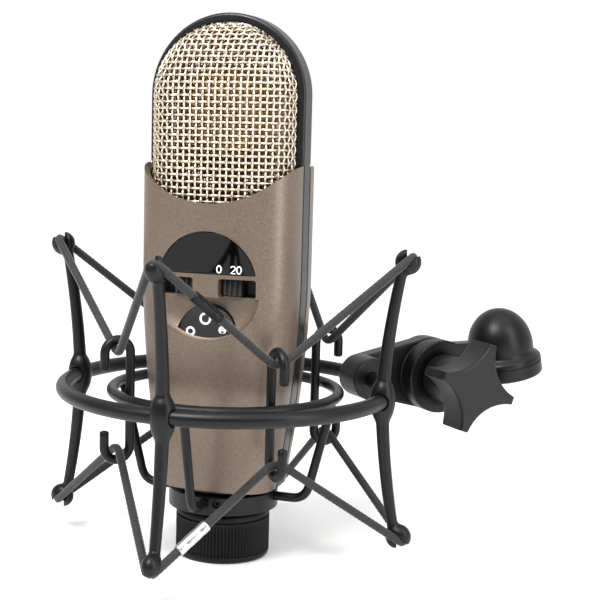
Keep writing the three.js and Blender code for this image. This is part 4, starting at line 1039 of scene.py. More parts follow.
def half_grille(name, side, inset, pitch, wire_r, swing, sides, samples, material):
    cloth = woven(inset, pitch, wire_r, swing, sides, samples)
    if side > 0:
        turned_about(cloth, 180, "Z")
    return piece(f"{name}_woven", cloth, "microphone", FINISH[material], [name], 60)


for word, side in (("front", -1), ("rear", 1)):
    half_grille(f"{word}_grille", side, 0.9, MESH_PITCH, MESH_WIRE, 0.36, 7, 3, "nickel_mesh")
    half_grille(f"{word}_inner_mesh", side, 3.0, GAUZE_PITCH, GAUZE_WIRE, 0, 4, 1, "gauze_painted_shade")

# %% [markdown]
# ## Capsule
# A large-diaphragm capsule is a drilled brass plate with a gold-sputtered film stretched over
# each face by a ring of tiny screws. Its warm colour shows through the mesh. The film gives off
# a little light of its own, which stands in for the light that two layers of mesh hold back.

# %% Capsule
CAPSULE_HALF, RING_SCREWS, SCREW_CIRCLE = 4.0, 12, 15.0


def capsule_body():
    body = turned([(0, -CAPSULE_HALF), (13.8, -CAPSULE_HALF), (13.8, -CAPSULE_HALF - 0.7),
                   (CAPSULE_R - 0.6, -CAPSULE_HALF - 0.7), (CAPSULE_R - 0.1, -CAPSULE_HALF),
                   (CAPSULE_R - 0.1, CAPSULE_HALF), (CAPSULE_R - 0.6, CAPSULE_HALF + 0.7),
                   (13.8, CAPSULE_HALF + 0.7), (13.8, CAPSULE_HALF), (0, CAPSULE_HALF)], 96)
    screws = []
    for i in range(RING_SCREWS):
        for low in (-CAPSULE_HALF - 1.1, CAPSULE_HALF + 0.5):
            screw = rod(0.65, low, low + 0.6, 16)
            moved(screw, Matrix.Translation((SCREW_CIRCLE, 0, 0)))
            screws.append(turned_about(screw, 360 * i / RING_SCREWS, "Z"))
    return along_y(joined(body, *screws), z=CAPSULE_Z)


def diaphragm(side):
    film = turned([(0, CAPSULE_HALF + 0.35), (4.5, CAPSULE_HALF + 0.35), (4.7, CAPSULE_HALF + 0.45),
                   (13.3, CAPSULE_HALF + 0.5), (13.5, CAPSULE_HALF + 0.95), (0, CAPSULE_HALF + 0.95)], 72)
    along_y(film, z=CAPSULE_Z)
    if side < 0:
        moved(film, Matrix.Scale(-1, 4, (0, 1, 0)))
    return film


piece("capsule_body_turned", capsule_body(), "microphone", FINISH["brass"], ["capsule_body"], 30)
for word, side in (("front", -1), ("rear", 1)):
    piece(f"{word}_diaphragm_film", diaphragm(side), "microphone", FINISH["gold_film"],
          [f"{word}_diaphragm"])

# %% [markdown]
# ## Tail, clamp nut and collar
# The tail tube holds the cable socket and carries a thread outside. The nut clamps the cradle's
# collar against the body. Its grip is a fine straight knurl, which is modelled as a wave on the
# radius: one wave is one groove that fingers can feel.

# %% Clamp nut
NUT_GROOVES, NUT_GROOVE_DEPTH = 84, 0.3


def nut_knurl(angle, radius, z):
    grip = radius > NUT_R - 0.35 and 2.2 < z < NUT_H - 2.6
    return NUT_GROOVE_DEPTH * (math.cos(NUT_GROOVES * angle) - 1) if grip else 0


def clamp_nut():
    bore = TAIL_R + GAP
    outside = [(bore + 0.5, 0), (NUT_R - 1.5, 0), (NUT_R - 0.8, 0.2), (NUT_R - 0.25, 0.75), (NUT_R, 1.5),
               (NUT_R, 2.1), (NUT_R - 0.1, 2.3)]
    outside += [(NUT_R, 2.6 + 0.9 * i) for i in range(13)]
    outside += [(NUT_R, NUT_H - 2.5), (NUT_R - 0.8, NUT_H - 2.3), (NUT_R - 0.8, NUT_H - 1.7),
                (NUT_R, NUT_H - 1.5), (NUT_R, NUT_H - 0.5), (NUT_R - 0.4, NUT_H)]
    inside = [(bore + 0.5, NUT_H), (bore, NUT_H - 0.5), (bore, 0.5)]
    return turned(outside + inside, NUT_GROOVES * 6, nut_knurl)


piece("clamp_nut_knurled", clamp_nut(), "clamp_nut", FINISH["nut_plastic"],
      ["clamp_nut"], 45)

# %% Washer, tail tube, socket and pins
WASHER_R, WASHER_LOW, WASHER_TOP = NUT_R - 1, NUT_H + GAP, NUT_H + GAP + 0.8
washer = turned([(TAIL_R + GAP, WASHER_LOW), (WASHER_R - 0.1, WASHER_LOW), (WASHER_R, WASHER_LOW + 0.1),
                 (WASHER_R, WASHER_TOP - 0.1), (WASHER_R - 0.1, WASHER_TOP), (TAIL_R + GAP, WASHER_TOP)])
piece("nut_washer_turned", washer, "clamp_washer", FINISH["steel"], ["nut_washer"])

TAIL_BORE, TAIL_LOW, TAIL_TOP, FLANGE_THICK = 10.0, 1.4, 28.85, 1.6
TAIL_THREAD_LOW, TAIL_THREAD_TOP, THREAD_PITCH, THREAD_DEPTH = 2.6, 17.6, 1.5, 0.35
SOCKET_R, SOCKET_LOW, SOCKET_TOP, PINS, PIN_CIRCLE = 9.65, 13.5, 21.5, 3, 4.5


def threaded_tube(bore, outer, low, high, thread_low, thread_high, pitch, depth, inside=False):
    """A tube with ring grooves for its thread, outside or inside."""
    turns = int((thread_high - thread_low) / pitch)
    crests = []
    for i in range(turns):
        z = thread_low + i * pitch
        crests += [(0, z), (depth, z + pitch * 0.5)]
    crests.append((0, thread_low + turns * pitch))
    if inside:
        wall = [(outer, low), (outer, high)]
        inner = [(bore, high)] + [(bore + d, z) for d, z in reversed(crests)] + [(bore, low)]
    else:
        wall = [(outer - 0.3, low), (outer, low + 0.3)]
        wall += [(outer - d, z) for d, z in crests] + [(outer, high)]
        inner = [(bore, high), (bore, low + 0.3), (bore + 0.3, low)]
    return turned(wall + inner, 96)


tail_tube = threaded_tube(TAIL_BORE, TAIL_R, TAIL_LOW, TAIL_TOP, TAIL_THREAD_LOW, TAIL_THREAD_TOP,
                          THREAD_PITCH, THREAD_DEPTH)
flange = turned([(TAIL_BORE, TAIL_TOP), (TAIL_R + 2, TAIL_TOP), (TAIL_R + 2, TAIL_TOP + FLANGE_THICK),
                 (TAIL_BORE, TAIL_TOP + FLANGE_THICK)])
tail = joined(tail_tube, flange)
piece("tail_tube_threaded", tail, "microphone", FINISH["satin_black_metal"],
      ["tail_tube"], 35)


def pin_place(index):
    angle = math.pi + math.pi / 2 * index
    return Matrix.Translation((PIN_CIRCLE * math.cos(angle), PIN_CIRCLE * math.sin(angle), 0))


def xlr_insert():
    body = rod(SOCKET_R, SOCKET_LOW, SOCKET_TOP)
    for i in range(PINS):
        body = cut(body, moved(rod(1.45, SOCKET_LOW - 1.5, SOCKET_TOP + 1.5, 32), pin_place(i)))
    return bevelled(body, 0.25, 40, 3)


piece("xlr_insert_moulded", xlr_insert(), "microphone", FINISH["black_plastic"],
      ["xlr_insert"], 35)
for i in range(PINS):
    pin = turned([(0, 3.5), (0.5, 3.5), (0.95, 3.8), (1.2, 4.6), (1.2, 23), (0, 23)], 24)
    moved(pin, pin_place(i))
    piece(f"xlr_pin_{i + 1}_turned", pin, "microphone", FINISH["brass"], [f"xlr_pin_{i + 1}"])

# %% Collar with its holes and set screws
GRUB_ANGLE, GRUB_R = 0.24, 1.4


def radial(bm, angle, z):
    """What was drawn about Z now points outwards at that angle and height."""
    turned_about(bm, 90, "Y")
    moved(bm, Matrix.Translation((0, 0, z)))
    return turned_about(bm, math.degrees(angle), "Z")


def collar():
    ring = turned([(TAIL_R + GAP, COLLAR_LOW), (COLLAR_R, COLLAR_LOW), (COLLAR_R, COLLAR_HIGH),
                   (TAIL_R + GAP, COLLAR_HIGH)], 128)
    for i in range(4):
        ring = cut(ring, radial(rod(LEG_R + 0.2, COLLAR_R - 3.8, COLLAR_R + 4, 40), math.pi / 2 * i, LEG_Z))
    for i in range(2):
        angle = -math.pi / 2 + GRUB_ANGLE + math.pi * i
        ring = cut(ring, radial(rod(GRUB_R + 0.25, TAIL_R + 1.5, COLLAR_R + 4, 40), angle, LEG_Z))
    return bevelled(ring, 0.4, 40, 4)


weigh_normals(piece("collar_turned", collar(), "microphone", FINISH["satin_black_metal"],
                    ["collar"], 35))
for i in range(2):
    angle = -math.pi / 2 + GRUB_ANGLE + math.pi * i
    screw = cut(rod(GRUB_R, TAIL_R + 1.9, COLLAR_R - 1, 32), rod(0.75, COLLAR_R - 2.8, COLLAR_R + 1, 6))
    piece(f"grub_screw_{i + 1}_socket", radial(bevelled(screw, 0.12, 40, 2), angle, LEG_Z), "microphone",
          FINISH["dark_steel"], [f"grub_screw_{i + 1}"])

# %% [markdown]
# ## Cradle
# Four bent legs rise from the collar to the inner ring, and four wires with a hook at each end
# are brazed inside it. All are 3 mm steel wire, powder coated. Each is one sweep along straight
# runs joined by bends.

# %% Legs
def leg_path():
    top_z, top_r = RING_IN_Z - RING_IN_TUBE - GAP, RING_IN_R - 0.8
    slope = (top_r - LEG_LOW_R) / (top_z - LEG_Z)
    knee = (LEG_LOW_R + slope * LEG_BEND, 0, LEG_Z + LEG_BEND)
    heel = (LEG_LOW_R - LEG_BEND, 0, LEG_Z)
    path = straight_points((top_r, 0, top_z), knee, 3)
    path += bend_points(knee, (LEG_LOW_R, 0, LEG_Z), heel, 14)
    return without_repeats(path + straight_points(heel, (COLLAR_R - 3.4, 0, LEG_Z), 3))


for i in range(4):
    leg = turned_about(swept(leg_path(), LEG_R, 20), 90 * i, "Z")
    piece(f"cradle_leg_{i + 1}_bent", leg, "microphone", FINISH["satin_black_metal"],
          [f"cradle_leg_{i + 1}"])

# %% Hooks
def hook_path():
    outer, middle = HOOK_ROD + 2 * HOOK_BEND, HOOK_ROD + HOOK_BEND
    path = straight_points((outer, 0, HOOK_TOP - HOOK_FREE), (outer, 0, HOOK_TOP), 1.5)
    for i in range(25):
        angle = math.pi * i / 24
        path.append(Vector((middle + HOOK_BEND * math.cos(angle), 0, HOOK_TOP + HOOK_BEND * math.sin(angle))))
    path += straight_points((HOOK_ROD, 0, HOOK_TOP), (HOOK_ROD, 0, HOOK_LOW), 3)
    for i in range(25):
        angle = math.pi + math.pi * i / 24
        path.append(Vector((middle + HOOK_BEND * math.cos(angle), 0, HOOK_LOW + HOOK_BEND * math.sin(angle))))
    path += straight_points((outer, 0, HOOK_LOW), (outer, 0, HOOK_LOW + HOOK_FREE), 1.5)
    return without_repeats(path)


for i in range(4):
    hook = turned_about(swept(hook_path(), HOOK_WIRE, 20), -45 + 90 * i, "Z")
    piece(f"hook_rod_{i + 1}_bent", hook, "microphone", FINISH["satin_black_metal"],
          [f"hook_rod_{i + 1}"])

# %% Rings
def ring(radius, tube, z, segments=160, sides=24):
    path = [Vector((radius * math.cos(2 * math.pi * i / segments),
                    radius * math.sin(2 * math.pi * i / segments), z)) for i in range(segments)]
    return swept(path, tube, sides, closed=True)


piece("inner_ring_rolled", ring(RING_IN_R, RING_IN_TUBE, RING_IN_Z), "microphone",
      FINISH["satin_black_metal"], ["inner_ring"])
piece("outer_ring_rolled", ring(RING_OUT_R, RING_OUT_TUBE, RING_OUT_Z), "outer_frame",
      FINISH["satin_black_metal"], ["outer_ring"])

# %% [markdown]
# ## Elastic loops
# Each loop runs from an arm's ball to a hook, on to the next ball, and so all round. The bend
# at each stop passes through the stop itself, so the corner of the straight runs lies a little
# beyond it.


# %% The route of a loop
def around(radius, degrees, z):
    angle = math.radians(degrees)
    return Vector((radius * math.cos(angle), radius * math.sin(angle), z))


SEAT_R = BALL_AT + BALL_LENGTH / 2 - CORD_R - 0.4
HOOK_SEAT = HOOK_BEND - HOOK_WIRE - CORD_R - HOOK_AIR


def loop_corners(ball_z, hook_z):
    stops = []
    for i in range(4):
        stops.append(around(SEAT_R, -90 + 90 * i, ball_z))
        stops.append(around(HOOK_ROD + HOOK_BEND, -45 + 90 * i, hook_z))
    corners = []
    for i, stop in enumerate(stops):
        back = (stops[i - 1] - stop).normalized()
        onward = (stops[(i + 1) % 8] - stop).normalized()
        corners.append(stop - (back + onward) * (CORD_BEND / 4))
    return corners


def loop_path(corners, share, step):
    """Starts and ends in the middle of the ferrule."""
    start = corners[0].lerp(corners[1], share)
    start += (corners[1] - corners[0]).normalized() * GAP / 2
    path = []
    at = start
    for i in range(1, 9):
        corner = corners[i % 8]
        before = corner + (corners[i - 1] - corner).normalized() * CORD_BEND
        after = corner + (corners[(i + 1) % 8] - corner).normalized() * CORD_BEND
        path += straight_points(at, before, step) + bend_points(before, corner, after, round(9 / step))
        at = after
    end = start - (corners[1] - corners[0]).normalized() * GAP
    return without_repeats(path + straight_points(at, end, step))


UPPER = loop_corners(ARM_TOP, HOOK_TOP + HOOK_SEAT)
LOWER = loop_corners(ARM_LOW, HOOK_LOW - HOOK_SEAT)
UPPER_SHARE, LOWER_SHARE = 0.42, 0.34

# %% Braided cord
BRAID_STRANDS, BRAID_LAY, CORD_STEP = 4, 3.2, 0.32


def braided(path):
    length = sum((b - a).length for a, b in zip(path, path[1:]))

    def radius(share, angle):
        turn = 2 * math.pi * share * length / BRAID_LAY
        weave = math.sin(BRAID_STRANDS * angle + turn) * math.sin(BRAID_STRANDS * angle - turn)
        return CORD_R - 0.08 + 0.09 * weave

    print("elastic loop length, mm:", round(length))
    return swept(path, radius, 16, rounded=False)


def between(thing, hook_z, ball_z):
    """Bakes the piece's place into its mesh. The hook and ball heights are turned into metres, but nothing is done
    with them, and the piece is left on no body.
    """
    in_metres((0, 0, hook_z))
    in_metres((0, 0, ball_z))
    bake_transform(thing)


def elastic(name, corners, share, hook_z, ball_z):
    cord = piece(f"{name}_braided", braided(loop_path(corners, share, CORD_STEP)), None,
                 FINISH["elastic"], [name], 80)
    between(cord, hook_z, ball_z)


elastic("elastic_upper", UPPER, UPPER_SHARE, HOOK_TOP + 5, ARM_TOP - 5)
elastic("elastic_lower", LOWER, LOWER_SHARE, HOOK_LOW - 5, ARM_LOW + 5)

# %% Crimped ferrules
FERRULE_LENGTH, CRIMPS = 13.0, (0.27, 0.73)


def ferrule(corners, share):
    middle = corners[0].lerp(corners[1], share)
    direction = (corners[1] - corners[0]).normalized()
    outer, bore = CORD_R + 0.45, CORD_R + 0.12

    def squeeze(angle, radius, z):
        way = z / FERRULE_LENGTH + 0.5
        near = max(math.exp(-((way - c) / 0.07) ** 2) for c in CRIMPS)
        dent = near * (0.12 + 0.08 * math.cos(2 * angle))
        return -dent * (0.9 if radius > outer - 0.3 else 0.0)

    half = FERRULE_LENGTH / 2
    outside = [(outer - 0.25, -half), (outer, -half + 0.25)]
    outside += [(outer, -half + 0.5 + (FERRULE_LENGTH - 1) * i / 40) for i in range(41)]
    outside += [(outer, half - 0.25), (outer - 0.25, half)]
    sleeve = turned(outside + [(bore, half), (bore, -half)], 40, squeeze)
    moved(sleeve, direction.to_track_quat("Z", "Y").to_matrix().to_4x4())
    return moved(sleeve, Matrix.Translation(middle))


def crimped(name, corners, share, hook_z, ball_z, finish):
    sleeve = piece(f"{name}_crimped", ferrule(corners, share), None, FINISH[finish], [name], 50)
    between(sleeve, hook_z, ball_z)


crimped("ferrule_upper", UPPER, UPPER_SHARE, HOOK_TOP + 5, ARM_TOP - 5, "dark_steel")
crimped("ferrule_lower", LOWER, LOWER_SHARE, HOOK_LOW - 5, ARM_LOW + 5, "steel")

# %% [markdown]
# ## Spider arms
# Each arm is a cast zinc bow with a swelling where the ring passes through and a ball at
# each tip, slotted for the cord. The parts are first overlapped, then melted into one skin on a
# fine grid, and relaxed, which leaves the soft fillets of a casting.


# %% Arms
def arm_radius(z):
    away = min(1, abs(z - RING_OUT_Z) / ((ARM_TOP - ARM_LOW) / 2))
    return RING_OUT_R + (BALL_AT - RING_OUT_R) * away ** BOW_POWER


def arm_blank():
    middle = (ARM_TOP + ARM_LOW) / 2
    path = []
    for i in range(61):
        z = ARM_LOW + (ARM_TOP - ARM_LOW) * i / 60
        path.append(Vector((arm_radius(z), 0, z)))

    def thickness(share, _):
        z = ARM_LOW + (ARM_TOP - ARM_LOW) * share
        away = abs(z - middle) / (ARM_TOP - middle)
        boss = max(0.0, 1 - ((z - RING_OUT_Z) / 7) ** 2)
        return 2.5 - 0.6 * away + 2 * boss ** 0.7

    return swept(path, thickness, 24, rounded=False)


def ball(z):
    """An egg, longer along the arm than across it. The cord at z lies near its tip."""
    middle = z + math.copysign(BALL_BACK, RING_OUT_Z - z)
    bm = bmesh.new()
    bmesh.ops.create_uvsphere(bm, u_segments=40, v_segments=24, radius=1)
    for vert in bm.verts:
        x, y, up = vert.co
        vert.co = (BALL_AT + BALL_OUT + x * BALL_DEPTH, y * BALL_R, middle + up * BALL_LENGTH / 2)
    return bm


def slot_cutter(corners):
    """The cord's way through a ball, open at the tip. Drawn for the arm at -Y, then turned to +X."""
    turn = Matrix.Rotation(math.pi / 2, 3, "Z")
    corner = turn @ corners[0]
    sides = [turn @ corners[1], turn @ corners[7]]
    before = corner + (sides[1] - corner).normalized() * 12
    after = corner + (sides[0] - corner).normalized() * 12
    near_before, near_after = corner.lerp(before, 0.42), corner.lerp(after, 0.42)
    path = without_repeats(straight_points(before, near_before, 2)
                           + bend_points(near_before, corner, near_after, 12)
                           + straight_points(near_after, after, 2))
    reach = CORD_R + 0.42
    tip = Vector((0, 0, math.copysign(1, corner.z - RING_OUT_Z)))
    section = [(reach * math.cos(math.pi + math.pi * i / 10), reach * math.sin(math.pi + math.pi * i / 10))
               for i in range(11)] + [(reach, 9.0), (-reach, 9.0)]
    rings = []
    for point, ahead, _, _ in frames_along(path):
        across = tip.cross(ahead).normalized()
        rings.append([point + across * side + tip * along for side, along in section])
    return loft(rings)


def spider_arm():
    solid = melted(joined(arm_blank(), ball(ARM_TOP), ball(ARM_LOW)), 0.42, 10)
    for corners in UPPER, LOWER:
        solid = boolean(solid, slot_cutter(corners), "DIFFERENCE", folded=True)
    tunnel = along_y(rod(RING_OUT_TUBE + 0.12, -12, 12, 48), x=RING_OUT_R, z=RING_OUT_Z)
    return melted(cut(solid, tunnel), 0.4, 4)


ARM = spider_arm()
for i in range(4):
    arm = turned_about(ARM.copy(), 90 * i, "Z")
    piece(f"spider_arm_{i + 1}_cast", arm, "outer_frame", FINISH["satin_black_metal"],
          [f"spider_arm_{i + 1}"], 60)
ARM.free()

# %% [markdown]
# ## Swivel
# The arm that grips the outer ring ends in a clutch disc. Across the bolt lies the adapter's lug,
# with a fibre washer between, and the star knob pulls them together. This group is drawn in a
# frame of its own: X points away from the microphone, and the bolt lies along Y.

# %% The swivel's own frame
SWIVEL_PLACE = Matrix.Rotation(math.pi / 4, 4, "Z") @ Matrix.Translation((SWIVEL_AT, 0, SWIVEL_Z))
RING_BACK, RING_RISE = RING_OUT_R - SWIVEL_AT, RING_OUT_Z - SWIVEL_Z
DISC_BACK, DISC_FRONT, DISC_R = -9.5, -2.0, 14.0
CLAMP_HALF, CLAMP_R, CLAMP_SCREW_R = 6.0, 8.0, 1.6
BOLT_R, BOLT_HEAD, BOLT_HEAD_END = 3.0, 5.6, -6.1
FIBRE = 1.0


def on_axis(radius, start, end, segments=96):
    """A rod along the bolt. Distances grow towards the knob."""
    return along_y(rod(radius, -end, -start, segments))


def spun(profile, segments=96, shape=None):
    """A turned piece along the bolt. Each profile point is (radius, distance towards the knob)."""
    return along_y(turned([(r, -d) for r, d in profile], segments, shape))


# %% Swivel arm
def swivel_arm():
    disc = on_axis(DISC_R, DISC_BACK, DISC_FRONT)
    clamp = along_y(rod(CLAMP_R, -CLAMP_HALF, CLAMP_HALF, 80), RING_BACK, RING_RISE)
    web = plate([(RING_BACK, RING_RISE - 7.4), (-2, -DISC_R + 0.2), (-2, DISC_R - 0.2),
                 (RING_BACK, RING_RISE + 7.4)], 2.0, 8.5)
    tunnel = ring(RING_OUT_R, RING_OUT_TUBE + 0.2, 0, 200)
    return cut(melted(union(disc, clamp, web), 0.42, 3),
               moved(tunnel, Matrix.Translation((-SWIVEL_AT, 0, RING_RISE))),
               on_axis(BOLT_R + 0.2, DISC_BACK - 1, DISC_FRONT + 1, 48),
               on_axis(BOLT_HEAD + GAP, DISC_BACK - 1, DISC_BACK + 3.7, 6),
               moved(rod(CLAMP_SCREW_R + 0.2, -20, 0, 32), Matrix.Translation((RING_BACK, 0, 0))))


piece("swivel_arm_cast", moved(swivel_arm(), SWIVEL_PLACE), "outer_frame",
      FINISH["satin_black_metal"], ["swivel_arm"], 40)

# %% Ring clamp screw, clutch bolt and washer
clamp_screw = rod(CLAMP_SCREW_R, RING_RISE - CLAMP_R, RING_RISE - RING_OUT_TUBE - 0.7, 32)
clamp_screw = cut(clamp_screw, rod(0.85, RING_RISE - CLAMP_R - 1, RING_RISE - 6.2, 6))
moved(clamp_screw, SWIVEL_PLACE @ Matrix.Translation((RING_BACK, 0, 0)))
piece("ring_clamp_screw_socket", bevelled(clamp_screw, 0.15, 40, 2), "outer_frame",
      FINISH["steel"], ["ring_clamp_screw"])
bolt = joined(on_axis(BOLT_HEAD, -9.3, BOLT_HEAD_END, 6), on_axis(BOLT_R, BOLT_HEAD_END - 0.5, 19.2, 40))
piece("clutch_bolt_hex", moved(bevelled(bolt, 0.3, 40, 3), SWIVEL_PLACE), "outer_frame",
      FINISH["steel"], ["clutch_bolt"])
fibre = spun([(BOLT_R + GAP, DISC_FRONT + GAP), (DISC_R - 0.4, DISC_FRONT + GAP),
              (DISC_R - 0.4, DISC_FRONT + GAP + FIBRE), (BOLT_R + GAP, DISC_FRONT + GAP + FIBRE)])
piece("friction_washer_disc", moved(fibre, SWIVEL_PLACE), "outer_frame", FINISH["friction_fibre"],
      ["friction_washer"])

# %% [markdown]
# ## Stand adapter
# A lug, a neck and a domed cap over the stand thread, cast together. The soft fillets come from
# the same melting as the arms. The bright ring is a groove turned through the black coat.

# %% Stand adapter
THREAD_PLACE = (Matrix.Translation((ADAPTER_REACH, -(LUG_BACK + LUG_FRONT) / 2, -ADAPTER_DROP))
                @ Matrix.Rotation(math.radians(-ADAPTER_TILT), 4, "Y"))
FLANGE_R, FLANGE_H, DOME_R, DOME_H = 15.0, 9.0, 13.0, 17.5
NECK_LOW, NECK_HIGH = -3.6, 12.5
THREAD_R, INSERT_R, INSERT_H = 7.94, 9.6, 16.0


def dome():
    straight = DOME_H * 0.15
    profile = [(0, 0), (FLANGE_R - 0.7, 0), (FLANGE_R, 0.7), (FLANGE_R, FLANGE_H - 2.4),
               (FLANGE_R - 0.4, FLANGE_H - 1.6), (DOME_R + 0.3, FLANGE_H - 0.6), (DOME_R - 0.4, FLANGE_H),
               (DOME_R - 0.4, FLANGE_H + straight)]
    for i in range(1, 25):
        angle = math.pi / 2 * i / 25
        profile.append(((DOME_R - 0.4) * math.cos(angle),
                        FLANGE_H + straight + (DOME_H - straight) * math.sin(angle)))
    return turned(profile + [(0, FLANGE_H + DOME_H)], 128)


def adapter_body():
    lug = on_axis(DISC_R, LUG_BACK, LUG_FRONT)
    neck = plate([(2, NECK_LOW), (ADAPTER_REACH - 6, NECK_LOW), (ADAPTER_REACH - 6, NECK_HIGH), (2, NECK_HIGH)],
                 -LUG_FRONT, -LUG_BACK)
    body = melted(union(lug, neck, moved(dome(), THREAD_PLACE)), 0.4, 4)
    groove = turned([(FLANGE_R - 0.35, 5.1), (FLANGE_R + 1, 5.0), (FLANGE_R + 1, 5.8), (FLANGE_R - 0.35, 5.7)], 128)
    hollow = spun([(0, LUG_FRONT - 1.3), (7, LUG_FRONT - 1.3), (12, LUG_FRONT + 0.3), (12, LUG_FRONT + 2),
                   (0, LUG_FRONT + 2)])
    return cut(body, hollow, on_axis(BOLT_R + GAP, LUG_BACK - 2, LUG_FRONT + 2, 48),
               moved(rod(INSERT_R + GAP, -2, INSERT_H + 0.7), THREAD_PLACE), moved(groove, THREAD_PLACE))


piece("stand_adapter_cast", moved(adapter_body(), SWIVEL_PLACE), "adapter",
      FINISH["satin_black_metal"], ["stand_adapter"], 40)

# %% Thread insert
STAND_PITCH, STAND_DEPTH = 25.4 / 27, 0.45
thread = threaded_tube(THREAD_R, INSERT_R, GAP, INSERT_H, GAP + 0.6, INSERT_H - 0.6,
                       STAND_PITCH, STAND_DEPTH, inside=True)
piece("thread_insert_cut", moved(thread, SWIVEL_PLACE @ THREAD_PLACE), "adapter", FINISH["brass"],
      ["thread_insert"], 35)

# %% [markdown]
# ## Star knob
# Four blunt tips with hollow sides, moulded in black plastic round a nut. Each side is one
# arc. The edges of the face are rounded by drawing the outline several times, a little smaller
# each time.

# %% Knob
KNOB_TIP, KNOB_WAIST, KNOB_TIP_HALF = 17.0, 9.4, 0.09
KNOB_FRONT, KNOB_BACK, KNOB_TURN = 31.0, 18.0, -20.0
KNOB_EDGE, HUB_R, KNOB_BORE = 1.3, 9.0, 14.0


def star_knob():
    """Four blunt tips joined by hollow arcs."""
    half_side = math.pi / 4 - KNOB_TIP_HALF
    depth = KNOB_TIP * math.cos(half_side)
    centre = (KNOB_TIP ** 2 - KNOB_WAIST ** 2) / (2 * (depth - KNOB_WAIST))
    radius = centre - KNOB_WAIST

    def outline(inset, along):
        points = []
        for side in range(4):
            for i in range(41):
                away = half_side * (i / 20 - 1)
                arc = centre * math.cos(away) - math.sqrt(radius ** 2 - (centre * math.sin(away)) ** 2)
                corner = 5 * max(0, abs(away) / half_side - 0.9)
                turn = math.pi / 4 + math.pi / 2 * side + away + math.radians(KNOB_TURN)
                reach = arc - inset - 0.6 * corner ** 2
                points.append((reach * math.cos(turn), -along, reach * math.sin(turn)))
        return points

    rings = []
    for i in range(9):
        angle = math.pi / 2 * i / 8
        sunk, back = KNOB_EDGE * (1 - math.sin(angle)), KNOB_EDGE * (1 - math.cos(angle))
        rings.append(outline(sunk, KNOB_BACK + back))
    for i in range(9):
        angle = math.pi / 2 * i / 8
        sunk, back = KNOB_EDGE * (1 - math.cos(angle)), KNOB_EDGE * (1 - math.sin(angle))
        rings.append(outline(sunk, KNOB_FRONT - back))
    hub = spun([(0, LUG_FRONT + GAP), (HUB_R - 0.5, LUG_FRONT + GAP), (HUB_R, LUG_FRONT + GAP + 0.5),
                (HUB_R, KNOB_BACK + 2), (0, KNOB_BACK + 2)])
    bore = on_axis(BOLT_R + GAP, LUG_FRONT - 2, LUG_FRONT + GAP + KNOB_BORE, 48)
    return cut(union(loft(rings), hub), bore)


weigh_normals(piece("star_knob_moulded", moved(star_knob(), SWIVEL_PLACE), "knob", FINISH["knob_plastic"],
                    ["star_knob"], 35))

# %% [markdown]
# ## Floor, light and camera
# A white sweep stands in for a studio table. The surroundings give most light from behind, so
# that black pieces stay dark in front and get a soft pale edge. A wide sun keeps the floor as
# white far away as near, and three softboxes give metal and lacquer something to reflect. The
# camera stands a little to the right of the front and looks slightly down.

# %% Floor
def make_floor():
    bm = bmesh.new()
    bmesh.ops.create_grid(bm, x_segments=1, y_segments=1, size=6)
    mesh = bpy.data.meshes.new("floor")
    bm.to_mesh(mesh)
    bm.free()
    floor = bpy.data.objects.new("floor", mesh)
    bpy.context.collection.objects.link(floor)
    material, tree, surface = new_material("pale_studio_floor", "fbfbfa", 0.9)
    paper = grain(tree, 60, 2)
    tree.links.new(ramp(tree, paper.outputs["Fac"], [(0.3, "f9f9f8"), (0.7, "ffffff")]),
                   surface.inputs["Base Color"])
    mesh.materials.append(material)


make_floor()

# %% Light
BACK_LEVEL, FRONT_LEVEL = 1.0, 0.05


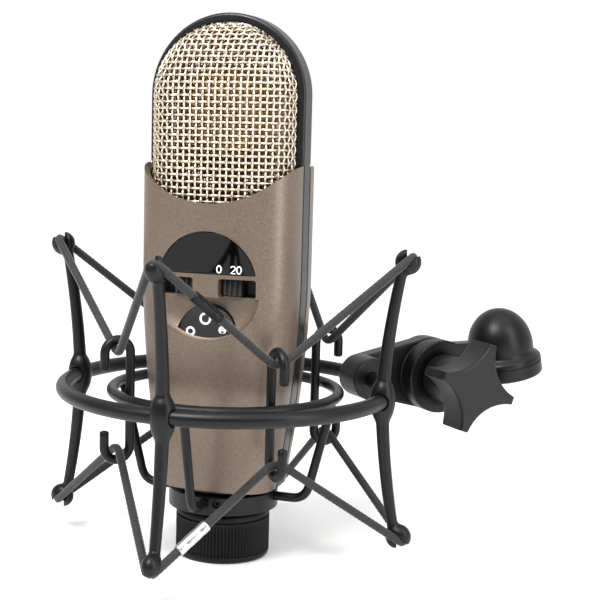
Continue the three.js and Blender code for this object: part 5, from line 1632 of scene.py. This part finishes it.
def studio_world():
    """Light comes from behind the object and hardly from the front, as in a studio with a lit
    backdrop. Seen directly, the surroundings are white all round."""
    world = bpy.data.worlds.new("studio")
    bpy.context.scene.world = world
    world.use_nodes = True
    tree = world.node_tree
    background = tree.nodes["Background"]
    background.inputs["Color"].default_value = linear("ffffff")
    place = add_node(tree, "ShaderNodeTexCoord")
    axes = add_node(tree, "ShaderNodeSeparateXYZ", links={"Vector": place.outputs["Generated"]})
    level = add_node(tree, "ShaderNodeMapRange", {"interpolation_type": "SMOOTHSTEP"},
                     {"Value": axes.outputs["Y"]},
                     {"From Min": -0.5, "From Max": 0.55, "To Min": FRONT_LEVEL, "To Max": BACK_LEVEL})
    seen = add_node(tree, "ShaderNodeLightPath")
    strength = add_node(tree, "ShaderNodeMath", {"operation": "MAXIMUM"})
    tree.links.new(level.outputs["Result"], strength.inputs[0])
    tree.links.new(seen.outputs["Is Camera Ray"], strength.inputs[1])
    tree.links.new(strength.outputs["Value"], background.inputs["Strength"])


def softbox(name, place, aim, size, power):
    light = bpy.data.lights.new(name, "AREA")
    light.shape = "RECTANGLE"
    light.size, light.size_y = size
    light.energy = power
    lamp = bpy.data.objects.new(name, light)
    bpy.context.collection.objects.link(lamp)
    lamp.location = in_metres(place)
    direction = in_metres(aim) - lamp.location
    lamp.rotation_euler = direction.to_track_quat("-Z", "Y").to_euler()


def sky_panel(lean, strength):
    """A panel over the whole table, as one wide sun: the floor is as bright far away as near."""
    light = bpy.data.lights.new("sky_panel", "SUN")
    light.energy = strength
    light.angle = math.radians(70)
    lamp = bpy.data.objects.new("sky_panel", light)
    bpy.context.collection.objects.link(lamp)
    lamp.rotation_euler = Vector((lean[0], lean[1], 1)).to_track_quat("Z", "Y").to_euler()


studio_world()
softbox("key_left", (-420, -380, 420), (0, 0, 90), (0.3, 0.4), 0.8)
softbox("fill_right", (460, -160, 260), (0, 0, 90), (0.15, 0.5), 1.6)
sky_panel((0.15, -0.4), 2.1)
softbox("top_front", (-90, -330, 520), (0, 0, 95), (0.2, 0.2), 3.5)
bpy.context.scene.view_settings.view_transform = "Standard"

# %% Camera
CAMERA_AT = (168.1, -458.0, 155.2)
CAMERA_TURN, CAMERA_PITCH, CAMERA_ROLL = 20.16, -7.34, 1.15
LENS_MM, SHIFT_X, SHIFT_Y = 82.9, 0.1216, -0.0017


def make_camera():
    lens = bpy.data.cameras.new("camera")
    lens.lens = LENS_MM
    lens.sensor_width = 36
    lens.shift_x, lens.shift_y = SHIFT_X, SHIFT_Y
    camera = bpy.data.objects.new("camera", lens)
    bpy.context.collection.objects.link(camera)
    camera.location = in_metres(CAMERA_AT)
    turn = Matrix.Rotation(math.radians(CAMERA_TURN), 4, "Z")
    pitch = Matrix.Rotation(math.radians(90 + CAMERA_PITCH), 4, "X")
    roll = Matrix.Rotation(math.radians(CAMERA_ROLL), 4, "Z")
    camera.rotation_euler = (turn @ pitch @ roll).to_euler()
    bpy.context.scene.camera = camera


make_camera()
